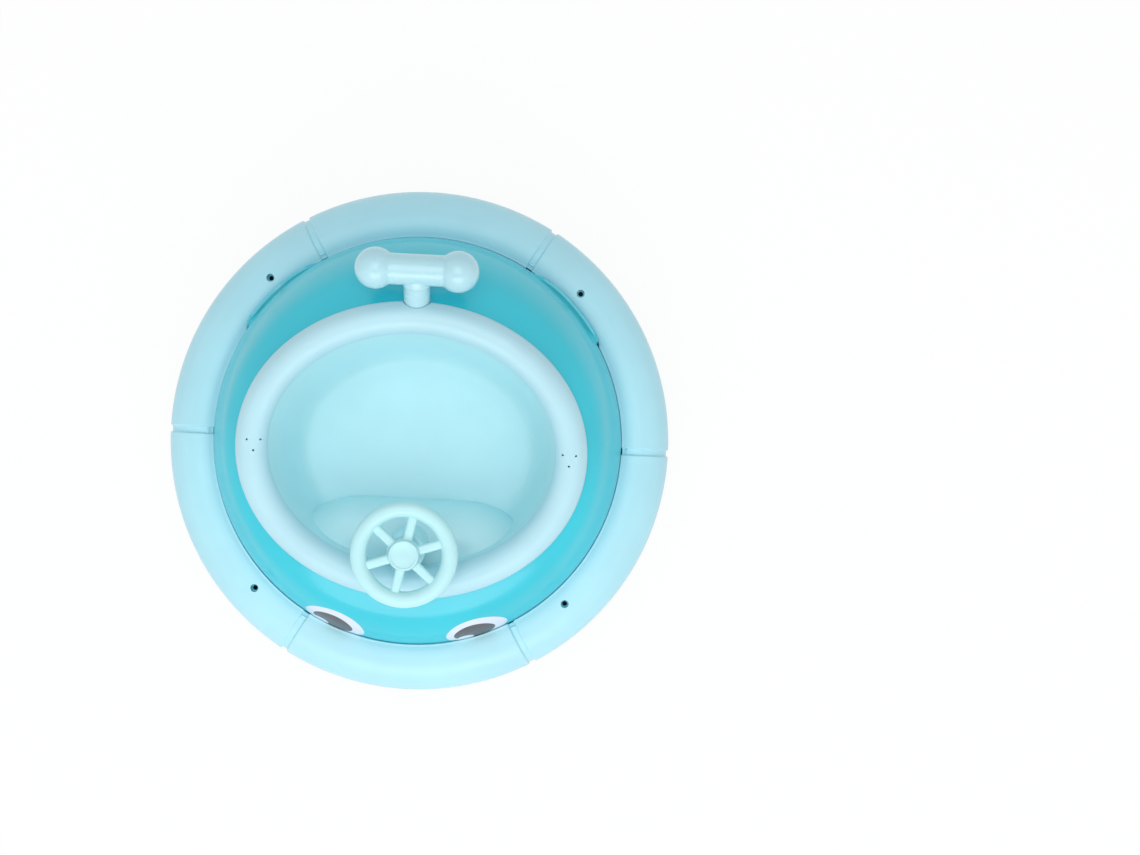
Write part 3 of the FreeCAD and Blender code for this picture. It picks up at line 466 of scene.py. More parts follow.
DECK_FORWARD, DECK_LEVEL, RIM_DROP = 4.8 * MM, 98.4 * MM, 1.5 * MM
RIM_HALF_WIDTH, RIM_HALF_LENGTH = 79.6 * MM, 68.5 * MM
COAMING_HALF_WIDTH, COAMING_HALF_LENGTH = 73.3 * MM, 62.2 * MM
TUB_HALF_WIDTH, TUB_HALF_LENGTH = 65.0 * MM, 54.0 * MM
TUB_RIM = 0.9 * MM


def deck_matrix():
    """From the rim's own plane to the boat: leaned forward, high at the stern."""
    return (Matrix.Translation((0, -DECK_FORWARD, DECK_LEVEL))
            @ Matrix.Rotation(sizes().deck_lean, 4, "X"))


def leaning_ring(station, share):
    """A point on an ellipse given by its middle (y, z), lean in degrees and half axes."""
    y, z, lean, across, along = station
    turn = math.tau * share
    spot = Vector((across * math.cos(turn), along * math.sin(turn), 0))
    spot.rotate(Matrix.Rotation(math.radians(lean), 3, "X"))
    return spot + Vector((0, y, z))


def deck_station(above, across, along):
    """The station of an ellipse in the rim's plane, moved up or down square to it."""
    lean = sizes().deck_lean
    return (-DECK_FORWARD - above * math.sin(lean), DECK_LEVEL + above * math.cos(lean),
            math.degrees(lean), across, along)


# Float ring

GROOVES = [math.radians(60 * number) for number in range(6)]
RING_SCREWS = [math.radians(45 + 90 * number) for number in range(4)]
FLIPPER_START, FLIPPER_END = math.radians(31), math.radians(59)
FLIPPER_ROOT, FLIPPER_RADIUS, FLIPPER_WITHIN = 95.6 * MM, 98.6 * MM, 92.6 * MM
FLIPPER_NOSE, FLIPPER_TAPER = 0.07, 0.45
FLIPPER_GAP = 0.25 * MM
# Places across half a groove, as shares of its half width: sparse on the floor, dense on the side
GROOVE_SHARES = (0.0, 0.4, 0.64, 0.72, 0.82, 0.94, 1.06, 1.16, 1.26, 1.4)
GROOVE_SIDE_END, GROOVE_SIDE = 1.25, 0.55
BETWEEN = 34


def ring_angles():
    """Angles round the ring, close together at the groove's sides and wider elsewhere."""
    angles = []
    half = sizes().groove_width / RING_MIDDLE / 2
    for groove in GROOVES:
        angles += [groove - half * share for share in reversed(GROOVE_SHARES[1:])]
        angles += [groove + half * share for share in GROOVE_SHARES]
        start = half * GROOVE_SHARES[-1]
        gap = math.tau / 6 - 2 * start
        angles += [groove + start + gap * step / BETWEEN for step in range(1, BETWEEN)]
    return angles


def groove_sink(angle, radius):
    """How far the ring's surface sinks at a place: a flat channel with rounded lips."""
    half = sizes().groove_width / 2
    for groove in GROOVES:
        away = abs(math.sin(angle - groove)) * radius / half
        if math.cos(angle - groove) > 0 and away < GROOVE_SIDE_END:
            side = min(1.0, (GROOVE_SIDE_END - away) / GROOVE_SIDE)
            return sizes().groove_depth * side * side * (3 - 2 * side)
    return 0.0


def flipper_reach(angle):
    """How far out a flipper reaches at an angle: blunt at its forward end, tapered aft."""
    folded = abs(math.atan2(math.sin(angle), abs(math.cos(angle))))
    share = (folded - FLIPPER_START) / (FLIPPER_END - FLIPPER_START)
    if math.sin(angle) < 0 or not 0 < share < 1:
        return 0.0
    nose = math.sqrt(1 - (1 - min(1.0, share / FLIPPER_NOSE)) ** 2)
    tail = math.sqrt(1 - (1 - min(1.0, (1 - share) / FLIPPER_TAPER)) ** 2)
    return FLIPPER_ROOT + (FLIPPER_RADIUS - FLIPPER_ROOT) * min(nose, tail)


def ring_section(side):
    """Half of the ring's section as points (radius, height): its outside, then its inside."""
    bore, tube = sizes().ring_bore, RING_TUBE
    lip, seam = 0.6 * MM, 2.5 * MM
    start = math.degrees(math.acos((bore + lip - RING_MIDDLE) / tube))
    outer = arc(RING_MIDDLE, 0, tube, 1.2, start, 34)
    lip_arc = arc(bore + lip, outer[-1][1] - lip * 0.9, lip, 105, 180, 5)
    inner_start = math.degrees(math.acos((bore + WALL - RING_MIDDLE) / (tube - WALL)))
    inner = arc(RING_MIDDLE, 0, tube - WALL, inner_start, 0, 14)
    outside = [(RING_RADIUS - 0.25 * MM, 0)] + outer + lip_arc + [(bore, seam)]
    return [[Vector((radius, RING_LEVEL + side * height)) for radius, height in points]
            for points in (outside, [(bore + WALL, seam)] + inner)]


def ring_shell(side):
    """One half of the ring: its section carried round, grooved and notched on the way."""
    outside, inside = ring_section(side)
    section = outside + inside
    middle = Vector((RING_MIDDLE, RING_LEVEL))

    def point(angle, share):
        number = round(share * len(section)) % len(section)
        spot = section[number].copy()
        if number < len(outside):
            spot += (middle - spot).normalized() * groove_sink(angle, spot.x)
            if side > 0:
                spot.x = max(spot.x, flipper_reach(angle) + FLIPPER_GAP)
        return Vector((spot.x * math.cos(angle), spot.x * math.sin(angle), spot.y))

    angles = ring_angles()
    return skinned(angles + [angles[0] + math.tau], len(section), point, closed=True)


def screw_places():
    return [Vector((RING_MIDDLE * math.cos(turn), RING_MIDDLE * math.sin(turn), 0))
            for turn in RING_SCREWS]


RIB_SIZE, RIB_INWARD, RIB_SUNK = (0.5 * MM, 1.5 * MM, 0.9 * MM), 2.9 * MM, 0.95 * MM
RIB_LEAN = math.radians(-22)


def groove_rib(angle):
    """The fine rib that crosses a groove near its inner end."""
    bm = bmesh.new()
    bmesh.ops.create_icosphere(bm, subdivisions=3, radius=1.0)
    bmesh.ops.scale(bm, vec=RIB_SIZE, verts=bm.verts)
    radius = sizes().ring_bore + RIB_INWARD
    height = RING_LEVEL + math.sqrt(RING_TUBE ** 2 - (radius - RING_MIDDLE) ** 2)
    bmesh.ops.transform(bm, verts=bm.verts, matrix=(
        Matrix.Rotation(angle, 4, "Z") @ Matrix.Translation((radius, 0, height - RIB_SUNK))
        @ Matrix.Rotation(RIB_LEAN, 4, "Y")))
    return smooth_mesh(bm, "rib", 60)


def ring_upper():
    """The upper shell with its screw wells and the ribs in its grooves."""
    shell = smooth_mesh(ring_shell(1), "ring_upper_shell_skin", 50)
    holes = [rod(sizes().well_radius, RING_LEVEL + 8 * MM, RING_LEVEL + RING_TUBE + 2 * MM,
                 Matrix.Translation(place), 40) for place in screw_places()]
    ribs = [groove_rib(groove) for groove in GROOVES]
    mesh = plain_mesh(joined(carved(shell, *holes), *ribs), "ring_upper_shell_mesh")
    mesh.set_sharp_from_angle(angle=math.radians(50))
    return mesh


WELL_DEPTH, WELL_HOLE, WELL_OUTSIDE = 3.6 * MM, 1.15 * MM, 3.8 * MM
SCREW_LEVEL, SCREW_RADIUS, SCREW_RISE = RING_LEVEL + 5 * MM, 1.7 * MM, 0.8 * MM


def well_liners():
    """The sleeves that line the wells, each with a step and a small hole over its screw; in the
    body's darker teal they are painted shade on the wells' walls.
    """
    well, top = sizes().well_radius, RING_LEVEL + RING_TUBE
    low, step = RING_LEVEL + 4.5 * MM, top - WELL_DEPTH
    sleeve = [(well, top - 0.4 * MM), (WELL_OUTSIDE, top - 1.2 * MM), (WELL_OUTSIDE, low),
              (well, low), (well, low + 1.5 * MM), (WELL_HOLE, step - 0.5 * MM),
              (WELL_HOLE, step), (well - 0.1 * MM, step), (well, top - 0.4 * MM)]
    sleeves = [smooth_mesh(spun(sleeve, 40, Matrix.Translation(place)), "sleeve", 30)
               for place in screw_places()]
    return smooth_mesh(joined(*sleeves), "well_liners_mesh", 30)


def screw_head(place):
    """A small dome-headed screw with a cross recess, seen down its well."""
    level, radius, rise, shank = SCREW_LEVEL, SCREW_RADIUS, SCREW_RISE, 1.05 * MM
    section = ([(0, level + rise)] + [(radius * math.sin(turn), level + rise * math.cos(turn))
                                      for turn in (0.3, 0.6, 0.9, 1.2, 1.5)]
               + [(radius, level - 0.4 * MM), (shank, level - 0.4 * MM),
                  (shank, level - 14 * MM), (0, level - 15.5 * MM)])
    head = smooth_mesh(spun(section, 32, Matrix.Translation(place)), "head", 35)
    for turn in (0.3, 0.3 + math.pi / 2):
        bm = bmesh.new()
        bmesh.ops.create_cube(bm, size=1.0)
        bmesh.ops.scale(bm, vec=(radius * 1.2, 0.45 * MM, 1.2 * MM), verts=bm.verts)
        bmesh.ops.transform(bm, verts=bm.verts, matrix=(
            Matrix.Translation(place + Vector((0, 0, level + rise)))
            @ Matrix.Rotation(turn, 4, "Z")))
        head = carved(head, smooth_mesh(bm, "bar", 30))
    return head


class BOAT_OT_float_ring(bpy.types.Operator):
    """Model the float ring's two shells and the screws in its wells"""
    bl_idname = "boat.float_ring"
    bl_label = "Float ring"

    def execute(self, context):
        add_piece("float_ring_top", ring_upper(), part_plastic("ring"), "boat",
                  ("ring_upper_shell",))
        add_piece("float_ring_underside",
                  smooth_mesh(ring_shell(-1), "ring_lower_shell_mesh", 50),
                  part_plastic("ring"), "boat", ("ring_lower_shell",))
        heads = [screw_head(place) for place in screw_places()]
        mesh = smooth_mesh(joined(*heads), "ring_screws_mesh", 35)
        add_piece("ring_well_screws", mesh, metal("black_screw", (0.04, 0.045, 0.05), 0.45),
                  "boat", ("ring_screws",))
        # The liners take the body's darker teal as painted shade inside the ring's wells.
        add_piece("ring_well_painted_shade_liners", well_liners(), part_plastic("body"), "boat")
        return {"FINISHED"}


# Hull and upper body

BODY_RADIUS = 96.7 * MM
SHOULDER_RADIUS, SHOULDER_LEVEL = 96.97 * MM, 58.6 * MM
BODY_WAIST = 93.3 * MM


def body_stations():
    """The body's rings: a shoulder inside the float ring, then up to the cockpit rim."""
    level = RING_LEVEL
    shoulder = [(0, height, 0, SHOULDER_RADIUS - inset, SHOULDER_RADIUS - inset)
                for height, inset in ((level, 0), (SHOULDER_LEVEL - 0.1 * MM, 0),
                                      (SHOULDER_LEVEL, 0.1 * MM))]
    rings = [(0, SHOULDER_LEVEL, 0, BODY_RADIUS, BODY_RADIUS),
             (0.3 * MM, level + 18 * MM, 1.2, BODY_RADIUS - 0.25 * MM, BODY_RADIUS - 0.6 * MM),
             (0.5 * MM, level + 30 * MM, 3.7, BODY_WAIST, BODY_WAIST - 1.0 * MM),
             (-1.75 * MM, level + 42.8 * MM, 7.8, BODY_WAIST - 5.6 * MM,
              BODY_WAIST - 10.7 * MM),
             deck_station(-RIM_DROP, RIM_HALF_WIDTH, RIM_HALF_LENGTH)]
    count = 44
    return shoulder + [spline(rings, step / count) for step in range(count + 1)]


FLIPPER_BASE, FLIPPER_TOP, FLIPPER_EDGE = 50 * MM, 74 * MM, 66.5 * MM
FLIPPER_STEPS = 40


def raised_lens(bm, grow):
    """A flipper's outline, an arc inside and its reach outside, raised; gives the top's points."""
    inner, outer = [], []
    for step in range(FLIPPER_STEPS + 1):
        turn = FLIPPER_START + (FLIPPER_END - FLIPPER_START) * step / FLIPPER_STEPS
        radius = max(flipper_reach(turn), FLIPPER_ROOT) + grow
        for row, reach in ((outer, radius), (inner, FLIPPER_WITHIN)):
            row.append(bm.verts.new((reach * math.cos(turn), reach * math.sin(turn),
                                     FLIPPER_BASE)))
    face = bm.faces.new(outer + list(reversed(inner)))
    top = bmesh.ops.extrude_face_region(bm, geom=[face])["geom"]
    return [item for item in top if isinstance(item, bmesh.types.BMVert)]


def flipper_mesh(side):
    """A raised fin at the stern quarter, its top sloped outward, on a low foot."""
    bm = bmesh.new()
    raised = raised_lens(bm, 0)
    border = FLIPPER_WITHIN + 0.5 * MM
    for vert in raised:
        vert.co.z = FLIPPER_TOP if vert.co.xy.length < border else FLIPPER_EDGE
    loop_edges = [edge for edge in bm.edges
                  if all(vert in raised for vert in edge.verts)
                  and any(vert.co.xy.length > border for vert in edge.verts)]
    bmesh.ops.bevel(bm, geom=loop_edges, offset=1.8 * MM, offset_type="OFFSET", segments=5,
                    profile=0.5, affect="EDGES", material=-1, clamp_overlap=True)
    foot = bmesh.new()
    for vert in raised_lens(foot, FLIPPER_GAP):
        vert.co.z = SHOULDER_LEVEL
    append_mesh(bm, smooth_mesh(foot, "flipper_foot", 45))
    if side < 0:
        bmesh.ops.scale(bm, vec=(-1, 1, 1), verts=bm.verts)
    return smooth_mesh(bm, "flipper", 45)


def hull_section():
    """The hull's outside and inside, a shallow bowl with a flat foot."""
    curve, reach, level = 62 * MM, 36.6 * MM, 61.4 * MM

    def surface(radius, low, high, steps):
        start = math.degrees(math.asin((low - level) / radius))
        end = math.degrees(math.asin((high - level) / radius))
        return arc(reach, level, radius, start, end, steps)

    outside = surface(curve, 0, RING_LEVEL - 3.5 * MM, 40)
    inside = surface(curve - WALL, WALL, RING_LEVEL - 1 * MM, 24)
    foot = outside[0][0]
    panel = [(0, 0.9 * MM), (foot - 12.6 * MM, 0.9 * MM), (foot - 12 * MM, 0.3 * MM),
             (foot - 11.6 * MM, 0), (foot - 0.2 * MM, 0)]
    flange = [(111 * MM, RING_LEVEL - 3.5 * MM), (111 * MM, RING_LEVEL - 1 * MM)]
    return panel + outside[1:] + flange + list(reversed(inside)) + [(0, WALL)]


def upper_body():
    """The upper body: a skin through its rings, given its wall, with both flippers."""
    bm = skinned(body_stations(), 192, leaning_ring)
    rim = deck_station(-RIM_DROP, RIM_HALF_WIDTH - WALL, RIM_HALF_LENGTH - WALL)
    top = [edge for edge in bm.edges if edge.is_boundary
           and edge.verts[0].co.z > RING_LEVEL + 20 * MM]
    made = bmesh.ops.extrude_edge_only(bm, edges=top)["geom"]
    for vert in (item for item in made if isinstance(item, bmesh.types.BMVert)):
        turn = math.atan2(vert.co.y / RIM_HALF_LENGTH, vert.co.x / RIM_HALF_WIDTH)
        vert.co = min((leaning_ring(rim, (turn + bend) / math.tau)
                       for bend in (-0.06, -0.03, 0, 0.03, 0.06)),
                      key=lambda spot: (spot - vert.co).length)
    bm = joined(smooth_mesh(bm, "upper_body_skin", 60))
    face_away(bm, Vector((0, 0, RING_LEVEL)))
    bmesh.ops.solidify(bm, geom=bm.faces[:], thickness=1.2 * MM)
    wall = plain_mesh(bm, "body_wall")
    for radius, low, high in ((STEM_RADIUS + 0.3 * MM, -STEM_LENGTH - 0.4 * MM, -5 * MM),
                              (SOCKET_RADIUS, -31 * MM, -STEM_LENGTH - 0.4 * MM)):
        wall = carved(wall, rod(radius, low, high, tail_matrix(), 48))
    wall.shade_smooth()
    mesh = plain_mesh(joined(wall, flipper_mesh(1), flipper_mesh(-1)), "body_upper_shell_mesh")
    mesh.set_sharp_from_angle(angle=math.radians(45))
    return mesh


class BOAT_OT_body(bpy.types.Operator):
    """Model the hull below the ring and the body above it"""
    bl_idname = "boat.body"
    bl_label = "Body"

    def execute(self, context):
        add_piece("upper_body", upper_body(), part_plastic("body"), "boat",
                  ("body_upper_shell",))
        mesh = smooth_mesh(spun(hull_section(), 192), "hull_lower_shell_mesh", 35)
        add_piece("lower_hull", mesh, part_plastic("body"), "boat",
                  ("hull_lower_shell",))
        return {"FINISHED"}


# Cockpit

def coaming():
    """The cockpit's half-round rim, carried round an ellipse, with its small vent holes."""
    tube = sizes().coaming_tube
    start = math.degrees(math.asin(-RIM_DROP / tube))
    crown = arc(0, 0, tube, start, 180 - start, 36)
    soft = 0.35 * MM
    section = [(crown[-1][0] + soft, -RIM_DROP - 0.05 * MM),
               (crown[0][0] - soft, -RIM_DROP - 0.05 * MM)] + crown
    to_boat = deck_matrix()

    def point(turn, share):
        number = round(share * len(section)) % len(section)
        out, up = section[number]
        across, along = COAMING_HALF_WIDTH, COAMING_HALF_LENGTH
        middle = Vector((across * math.cos(turn), along * math.sin(turn), 0))
        outward = Vector((math.cos(turn) / across, math.sin(turn) / along, 0)).normalized()
        return to_boat @ (middle + outward * out + Vector((0, 0, up)))

    turns = [math.tau * step / 220 for step in range(221)]
    mesh = smooth_mesh(skinned(turns, len(section), point, closed=True), "coaming_skin", 60)
    cutters = []
    for middle in (1.8 * MM - COAMING_HALF_WIDTH, COAMING_HALF_WIDTH - 0.8 * MM):
        for across, along in ((-3.0, 3.5), (3.0, 3.5), (0.0, -1.5)):
            spot = Vector((middle + across * MM, along * MM, 0))
            cutters.append(rod(0.5 * MM, 3.5 * MM, 9 * MM,
                               to_boat @ Matrix.Translation(spot), 16))
    cutters.append(rod(STEM_RADIUS + 0.35 * MM, -STEM_LENGTH - 0.4 * MM, -4 * MM,
                       tail_matrix(), 48))
    return shade(carved(mesh, *cutters), 45)


TUB_FLOOR = 50 * MM
CONSOLE_HALF_WIDTH, CONSOLE_START, CONSOLE_HEIGHT = 66 * MM, 27.6 * MM, 29 * MM
CONSOLE_CORNER, CONSOLE_ROUND = 42 * MM, 20 * MM


def bowl_stations():
    """The tub's rings from the floor up to just under the coaming."""
    wide, long = TUB_HALF_WIDTH, TUB_HALF_LENGTH
    rings = [(-4.0 * MM, TUB_FLOOR, 0, wide - 38 * MM, long - 34 * MM),
             (-4.0 * MM, TUB_FLOOR + 0.6 * MM, 0, wide - 17 * MM, long - 17 * MM),
             (-4.1 * MM, TUB_FLOOR + 5 * MM, 1, wide - 8.5 * MM, long - 8.5 * MM),
             (-4.3 * MM, TUB_FLOOR + 22 * MM, 5, wide - 3 * MM, long - 2.6 * MM),
             deck_station(-RIM_DROP, wide + TUB_RIM, long + TUB_RIM)]
    count = 40
    return [spline(rings, step / count) for step in range(count + 1)]


def console_block():
    """The rounded mound across the front of the tub: a block with two sizes of bevel."""
    bm = bmesh.new()
    bmesh.ops.create_cube(bm, size=1.0)
    bmesh.ops.scale(bm, vec=(2 * CONSOLE_HALF_WIDTH, 60 * MM, CONSOLE_HEIGHT + 6 * MM),
                    verts=bm.verts)
    bmesh.ops.translate(bm, verts=bm.verts, vec=(
        0, -CONSOLE_START - 30 * MM, TUB_FLOOR + (CONSOLE_HEIGHT - 6 * MM) / 2))
    rear = [edge for edge in bm.edges
            if all(vert.co.y > -CONSOLE_START - 1 * MM for vert in edge.verts)
            and abs(edge.verts[0].co.z - edge.verts[1].co.z) > 1 * MM]
    bmesh.ops.bevel(bm, geom=rear, offset=CONSOLE_CORNER, offset_type="OFFSET", segments=24,
                    profile=0.5, affect="EDGES", material=-1)
    high = TUB_FLOOR + CONSOLE_HEIGHT - 0.1 * MM
    top = [edge for edge in bm.edges if all(vert.co.z > high for vert in edge.verts)
           and any(vert.co.y > -CONSOLE_START - 59 * MM for vert in edge.verts)
           and len(edge.link_faces) == 2
           and any(abs(face.normal.z) < 0.5 for face in edge.link_faces)]
    bmesh.ops.bevel(bm, geom=top, offset=CONSOLE_ROUND, offset_type="OFFSET", segments=20,
                    profile=0.5, affect="EDGES", material=-1)
    return smooth_mesh(bm, "console_block", 35)


def tub():
    """The tub's inside: the bowl less the console mound, turned into a thin shell."""
    bm = skinned(bowl_stations(), 192, leaning_ring)
    cap_ends(bm)
    bowl = smooth_mesh(bm, "bowl_form", 50)
    bm = joined(carved(bowl, console_block()))
    to_deck = deck_matrix().inverted()
    lid = [face for face in bm.faces
           if all(abs((to_deck @ vert.co).z + RIM_DROP) < 0.02 * MM for vert in face.verts)]
    bmesh.ops.delete(bm, geom=lid, context="FACES_ONLY")
    bmesh.ops.reverse_faces(bm, faces=bm.faces[:])
    bmesh.ops.solidify(bm, geom=bm.faces[:], thickness=1.6 * MM)
    return shade(plain_mesh(bm, "cockpit_tub_mesh"), 32)


class BOAT_OT_cockpit(bpy.types.Operator):
    """Model the coaming and the tub with its console"""
    bl_idname = "boat.cockpit"
    bl_label = "Cockpit"

    def execute(self, context):
        # The coaming's darker colour is painted shade and the tub's lighter one is painted light;
        # both pieces are one plastic.
        add_piece("coaming", coaming(), part_plastic("coaming"), "boat",
                  ("cockpit_coaming",))
        add_piece("tub", tub(), part_plastic("tub"), "boat", ("cockpit_tub",))
        return {"FINISHED"}


# Steering

def wheel_matrix():
    """From the wheel's own frame, its axis along Z, to the boat."""
    lean = math.atan2(-WHEEL_AXIS.y, WHEEL_AXIS.z)
    return Matrix.Translation(WHEEL_CENTRE) @ Matrix.Rotation(lean, 4, "X")


HUB_LOW, HUB_HIGH, HUB_RADIUS = -8.0 * MM, 4.2 * MM, 7.3 * MM
SPOKES, SPOKE_TURN, SPOKE_SQUARENESS = 6, math.radians(19), 0.7
SPOKE_START, SPOKE_SHORT = 5.5 * MM, 5.2 * MM
SPOKE_HALF_WIDTH, SPOKE_HALF_HEIGHT = 2.15 * MM, 1.9 * MM
COLUMN_RADIUS = 8.8 * MM


def steering_wheel():
    """Rim, six spokes and a dished hub with a fine raised edge."""
    rim, tube = sizes().wheel_rim, sizes().wheel_tube
    bm = spun(arc(rim, 0, tube, 0, 360, 40), 128)
    hub = ([(0, HUB_HIGH - 0.5 * MM), (HUB_RADIUS - 1.9 * MM, HUB_HIGH - 0.5 * MM)]
           + arc(HUB_RADIUS - 1.0 * MM, HUB_HIGH - 0.55 * MM, 0.55 * MM, 150, -10, 8)
           + [(HUB_RADIUS, HUB_HIGH - 1.6 * MM), (HUB_RADIUS - 0.6 * MM, HUB_LOW),
              (0, HUB_LOW)])
    append_mesh(bm, smooth_mesh(spun(hub, 72), "hub", 30))
    for number in range(SPOKES):
        turn = SPOKE_TURN + math.tau * number / SPOKES

        def point(share_out, share):
            """A rounded bar that swells where it meets the hub and the rim."""
            swell = 1 + 0.35 * (1 - min(1.0, share_out / 0.22)) ** 2
            swell += 0.45 * max(0.0, (share_out - 0.8) / 0.2) ** 2
            across, up = [math.copysign(abs(part) ** SPOKE_SQUARENESS, part)
                          for part in (math.cos(math.tau * share), math.sin(math.tau * share))]
            spot = Vector((SPOKE_START + (rim - SPOKE_SHORT) * share_out,
                           SPOKE_HALF_WIDTH * swell * across, SPOKE_HALF_HEIGHT * swell * up))
            spot.rotate(Matrix.Rotation(turn, 3, "Z"))
            return spot

        spoke = skinned([step / 16 for step in range(17)], 28, point)
        cap_ends(spoke)
        append_mesh(bm, smooth_mesh(spoke, "spoke", 60))
    bmesh.ops.transform(bm, matrix=wheel_matrix(), verts=bm.verts)
    return smooth_mesh(bm, "steering_wheel_mesh", 50)


def column():
    """The boss that the wheel turns on, with a soft shoulder, down into the console."""
    top = HUB_LOW - 0.3 * MM
    bore = 2.6 * MM
    section = ([(bore, -40 * MM), (bore, top)] + [(COLUMN_RADIUS - 1.4 * MM, top)]
               + arc(COLUMN_RADIUS - 1.2 * MM, top - 1.2 * MM, 1.2 * MM, 90, 0, 8)
               + [(COLUMN_RADIUS, -34 * MM)] + [(COLUMN_RADIUS, -40 * MM), (bore, -40 * MM)])
    return smooth_mesh(spun(section, 72, wheel_matrix()), "steering_column_mesh", 35)


class BOAT_OT_steering(bpy.types.Operator):
    """Model the steering wheel and its column"""
    bl_idname = "boat.steering"
    bl_label = "Steering"

    def execute(self, context):
        add_piece("wheel_and_hub", steering_wheel(), part_plastic("wheel"), "wheel",
                  ("steering_wheel",))
        add_piece("column", column(), part_plastic("tub"), "boat",
                  ("steering_column",))
        return {"FINISHED"}


# Tail handle

BALL_RADIUS, BALL_SPACING = 9.45 * MM, 37.2 * MM
BAR_RADIUS, STEM_RADIUS, STEM_LENGTH = 7.1 * MM, 6.0 * MM, 24.0 * MM
SOCKET_RADIUS = 4.25 * MM


def tail_matrix():
    """From the handle's own frame, its stem along -Z and its bar along X, to the boat."""
    lean = math.atan2(-TAIL_AXIS.y, TAIL_AXIS.z)
    middle = (0, BAR_HIGH[1] - BALL_RADIUS, BAR_HIGH[2] - BALL_RADIUS)
    return Matrix.Translation(middle) @ Matrix.Rotation(lean, 4, "X")


def tail_handle():
    """The grip, turned round its bar, with a round stem below."""
    half, soft = BALL_SPACING / 2, 1.6 * MM
    away = math.sqrt((BALL_RADIUS + soft) ** 2 - (BAR_RADIUS + soft) ** 2)
    meet = math.degrees(math.atan2(BAR_RADIUS + soft, away))
    ball = arc(half, 0, BALL_RADIUS, 0, 180 - meet, 34)
    neck = arc(half - away, BAR_RADIUS + soft, soft, -meet, -90, 8)
    right = [(z, x) for x, z in ball + neck]
    left = [(radius, -height) for radius, height in reversed(right)]
    turn = Matrix.Rotation(math.radians(90), 4, "Y")
    bm = spun(right + left, 96, turn)
    stem = ([(0, -STEM_LENGTH)] + arc(STEM_RADIUS - 1.5 * MM, -STEM_LENGTH + 1.5 * MM, 1.5 * MM,
                                      -90, 0, 8)
            + [(STEM_RADIUS, -8.6 * MM), (STEM_RADIUS + 0.25 * MM, -7.6 * MM),
               (STEM_RADIUS + 0.9 * MM, -6.2 * MM), (STEM_RADIUS - 1 * MM, -2 * MM)])
    append_mesh(bm, smooth_mesh(spun(stem, 64), "stem", 40))
    bmesh.ops.transform(bm, matrix=tail_matrix(), verts=bm.verts)
    return smooth_mesh(bm, "tail_handle_mesh", 50)


class BOAT_OT_tail(bpy.types.Operator):
    """Model the tail handle"""
    bl_idname = "boat.tail"
    bl_label = "Tail handle"

    def execute(self, context):
        add_piece("tail_grip", tail_handle(), part_plastic("handle"), "tail",
                  ("tail_handle",))
        return {"FINISHED"}


# Eyes

EYE_TURN, EYE_TILT, EYE_LEVEL = math.radians(21.3), math.radians(20), RING_LEVEL + 19.2 * MM
EYE_DISTANCE = 130 * MM


def eye_patch(body_tree, side, across, up, half_width, half_height, lift):
    """An elliptical print laid on the bow: a domed disc dropped onto the body's skin."""
    azimuth = side * EYE_TURN
    turn = Matrix.Rotation(azimuth, 3, "Z") @ Matrix.Rotation(math.pi / 2 - EYE_TILT, 3, "X")
    level = EYE_LEVEL + (EYE_DISTANCE - (BODY_RADIUS - 4 * MM)) * math.tan(EYE_TILT)
    middle = Vector((EYE_DISTANCE * math.sin(azimuth), -EYE_DISTANCE * math.cos(azimuth), level))
    outward = turn @ Vector((0, 0, 1))
    bm = spun([(step / 16, 0) for step in range(17)], 96)
    for vert in bm.verts:
        spot = Vector((across + vert.co.x * half_width, up + vert.co.y * half_height, 0))
        hit = body_tree.ray_cast(middle + turn @ spot, -outward)[0]
        if hit is None:
            raise RuntimeError("an eye misses the body")
        edge = min(1.0, (1 - (vert.co.x ** 2 + vert.co.y ** 2)) / 0.06)
        vert.co = hit + outward * lift * max(0.15, edge) ** 0.5
    return bm


def bow_tree():
    """A ray target of the body's outer skin alone, without its wall and flippers."""
    bm = skinned(body_stations(), 192, leaning_ring)
    tree = BVHTree.FromBMesh(bm)
    bm.free()
    return tree


def print_material(name, colour, mottle):
    """Ink under a clear coat: nearly flat colour with faint clouds and gloss changes."""
    return plastic(name, colour, roughness=0.3, cloud=mottle, haze=0.12, wear=0.0, bump=0.05,
                   coat=0.35)


class BOAT_OT_eyes(bpy.types.Operator):
    """Lay the printed eyes on the bow"""
    bl_idname = "boat.eyes"
    bl_label = "Eyes"

    def execute(self, context):
        tree = bow_tree()
        white = print_material("eye_white_print", colours().eye_white, 0.02)
        dark = print_material("pupil_print", colours().pupil, 0.12)
        for word, side, slide in (("left", -1, -0.5 * MM), ("right", 1, -1.0 * MM)):
            bm = eye_patch(tree, side, slide, 0, 15.1 * MM, 10.8 * MM, 0.14 * MM)
            glint = eye_patch(tree, side, slide - 6.6 * MM, -4.7 * MM, 4.2 * MM, 3.0 * MM,
                              0.30 * MM)
            append_mesh(bm, smooth_mesh(glint, "glint", 60))
            add_piece("eye_%s_ground" % word, smooth_mesh(bm, "eye_%s_mesh" % word, 60), white,
                      "boat", ("eye_white_" + word,))
            bm = eye_patch(tree, side, 2.4 * slide, -0.4 * MM, 10.4 * MM, 7.7 * MM, 0.22 * MM)
            add_piece("pupil_%s_print" % word, smooth_mesh(bm, "pupil_%s_mesh" % word, 60), dark,
                      "boat", ("pupil_" + word,))
        return {"FINISHED"}


# Frame pieces that keep their own mesh

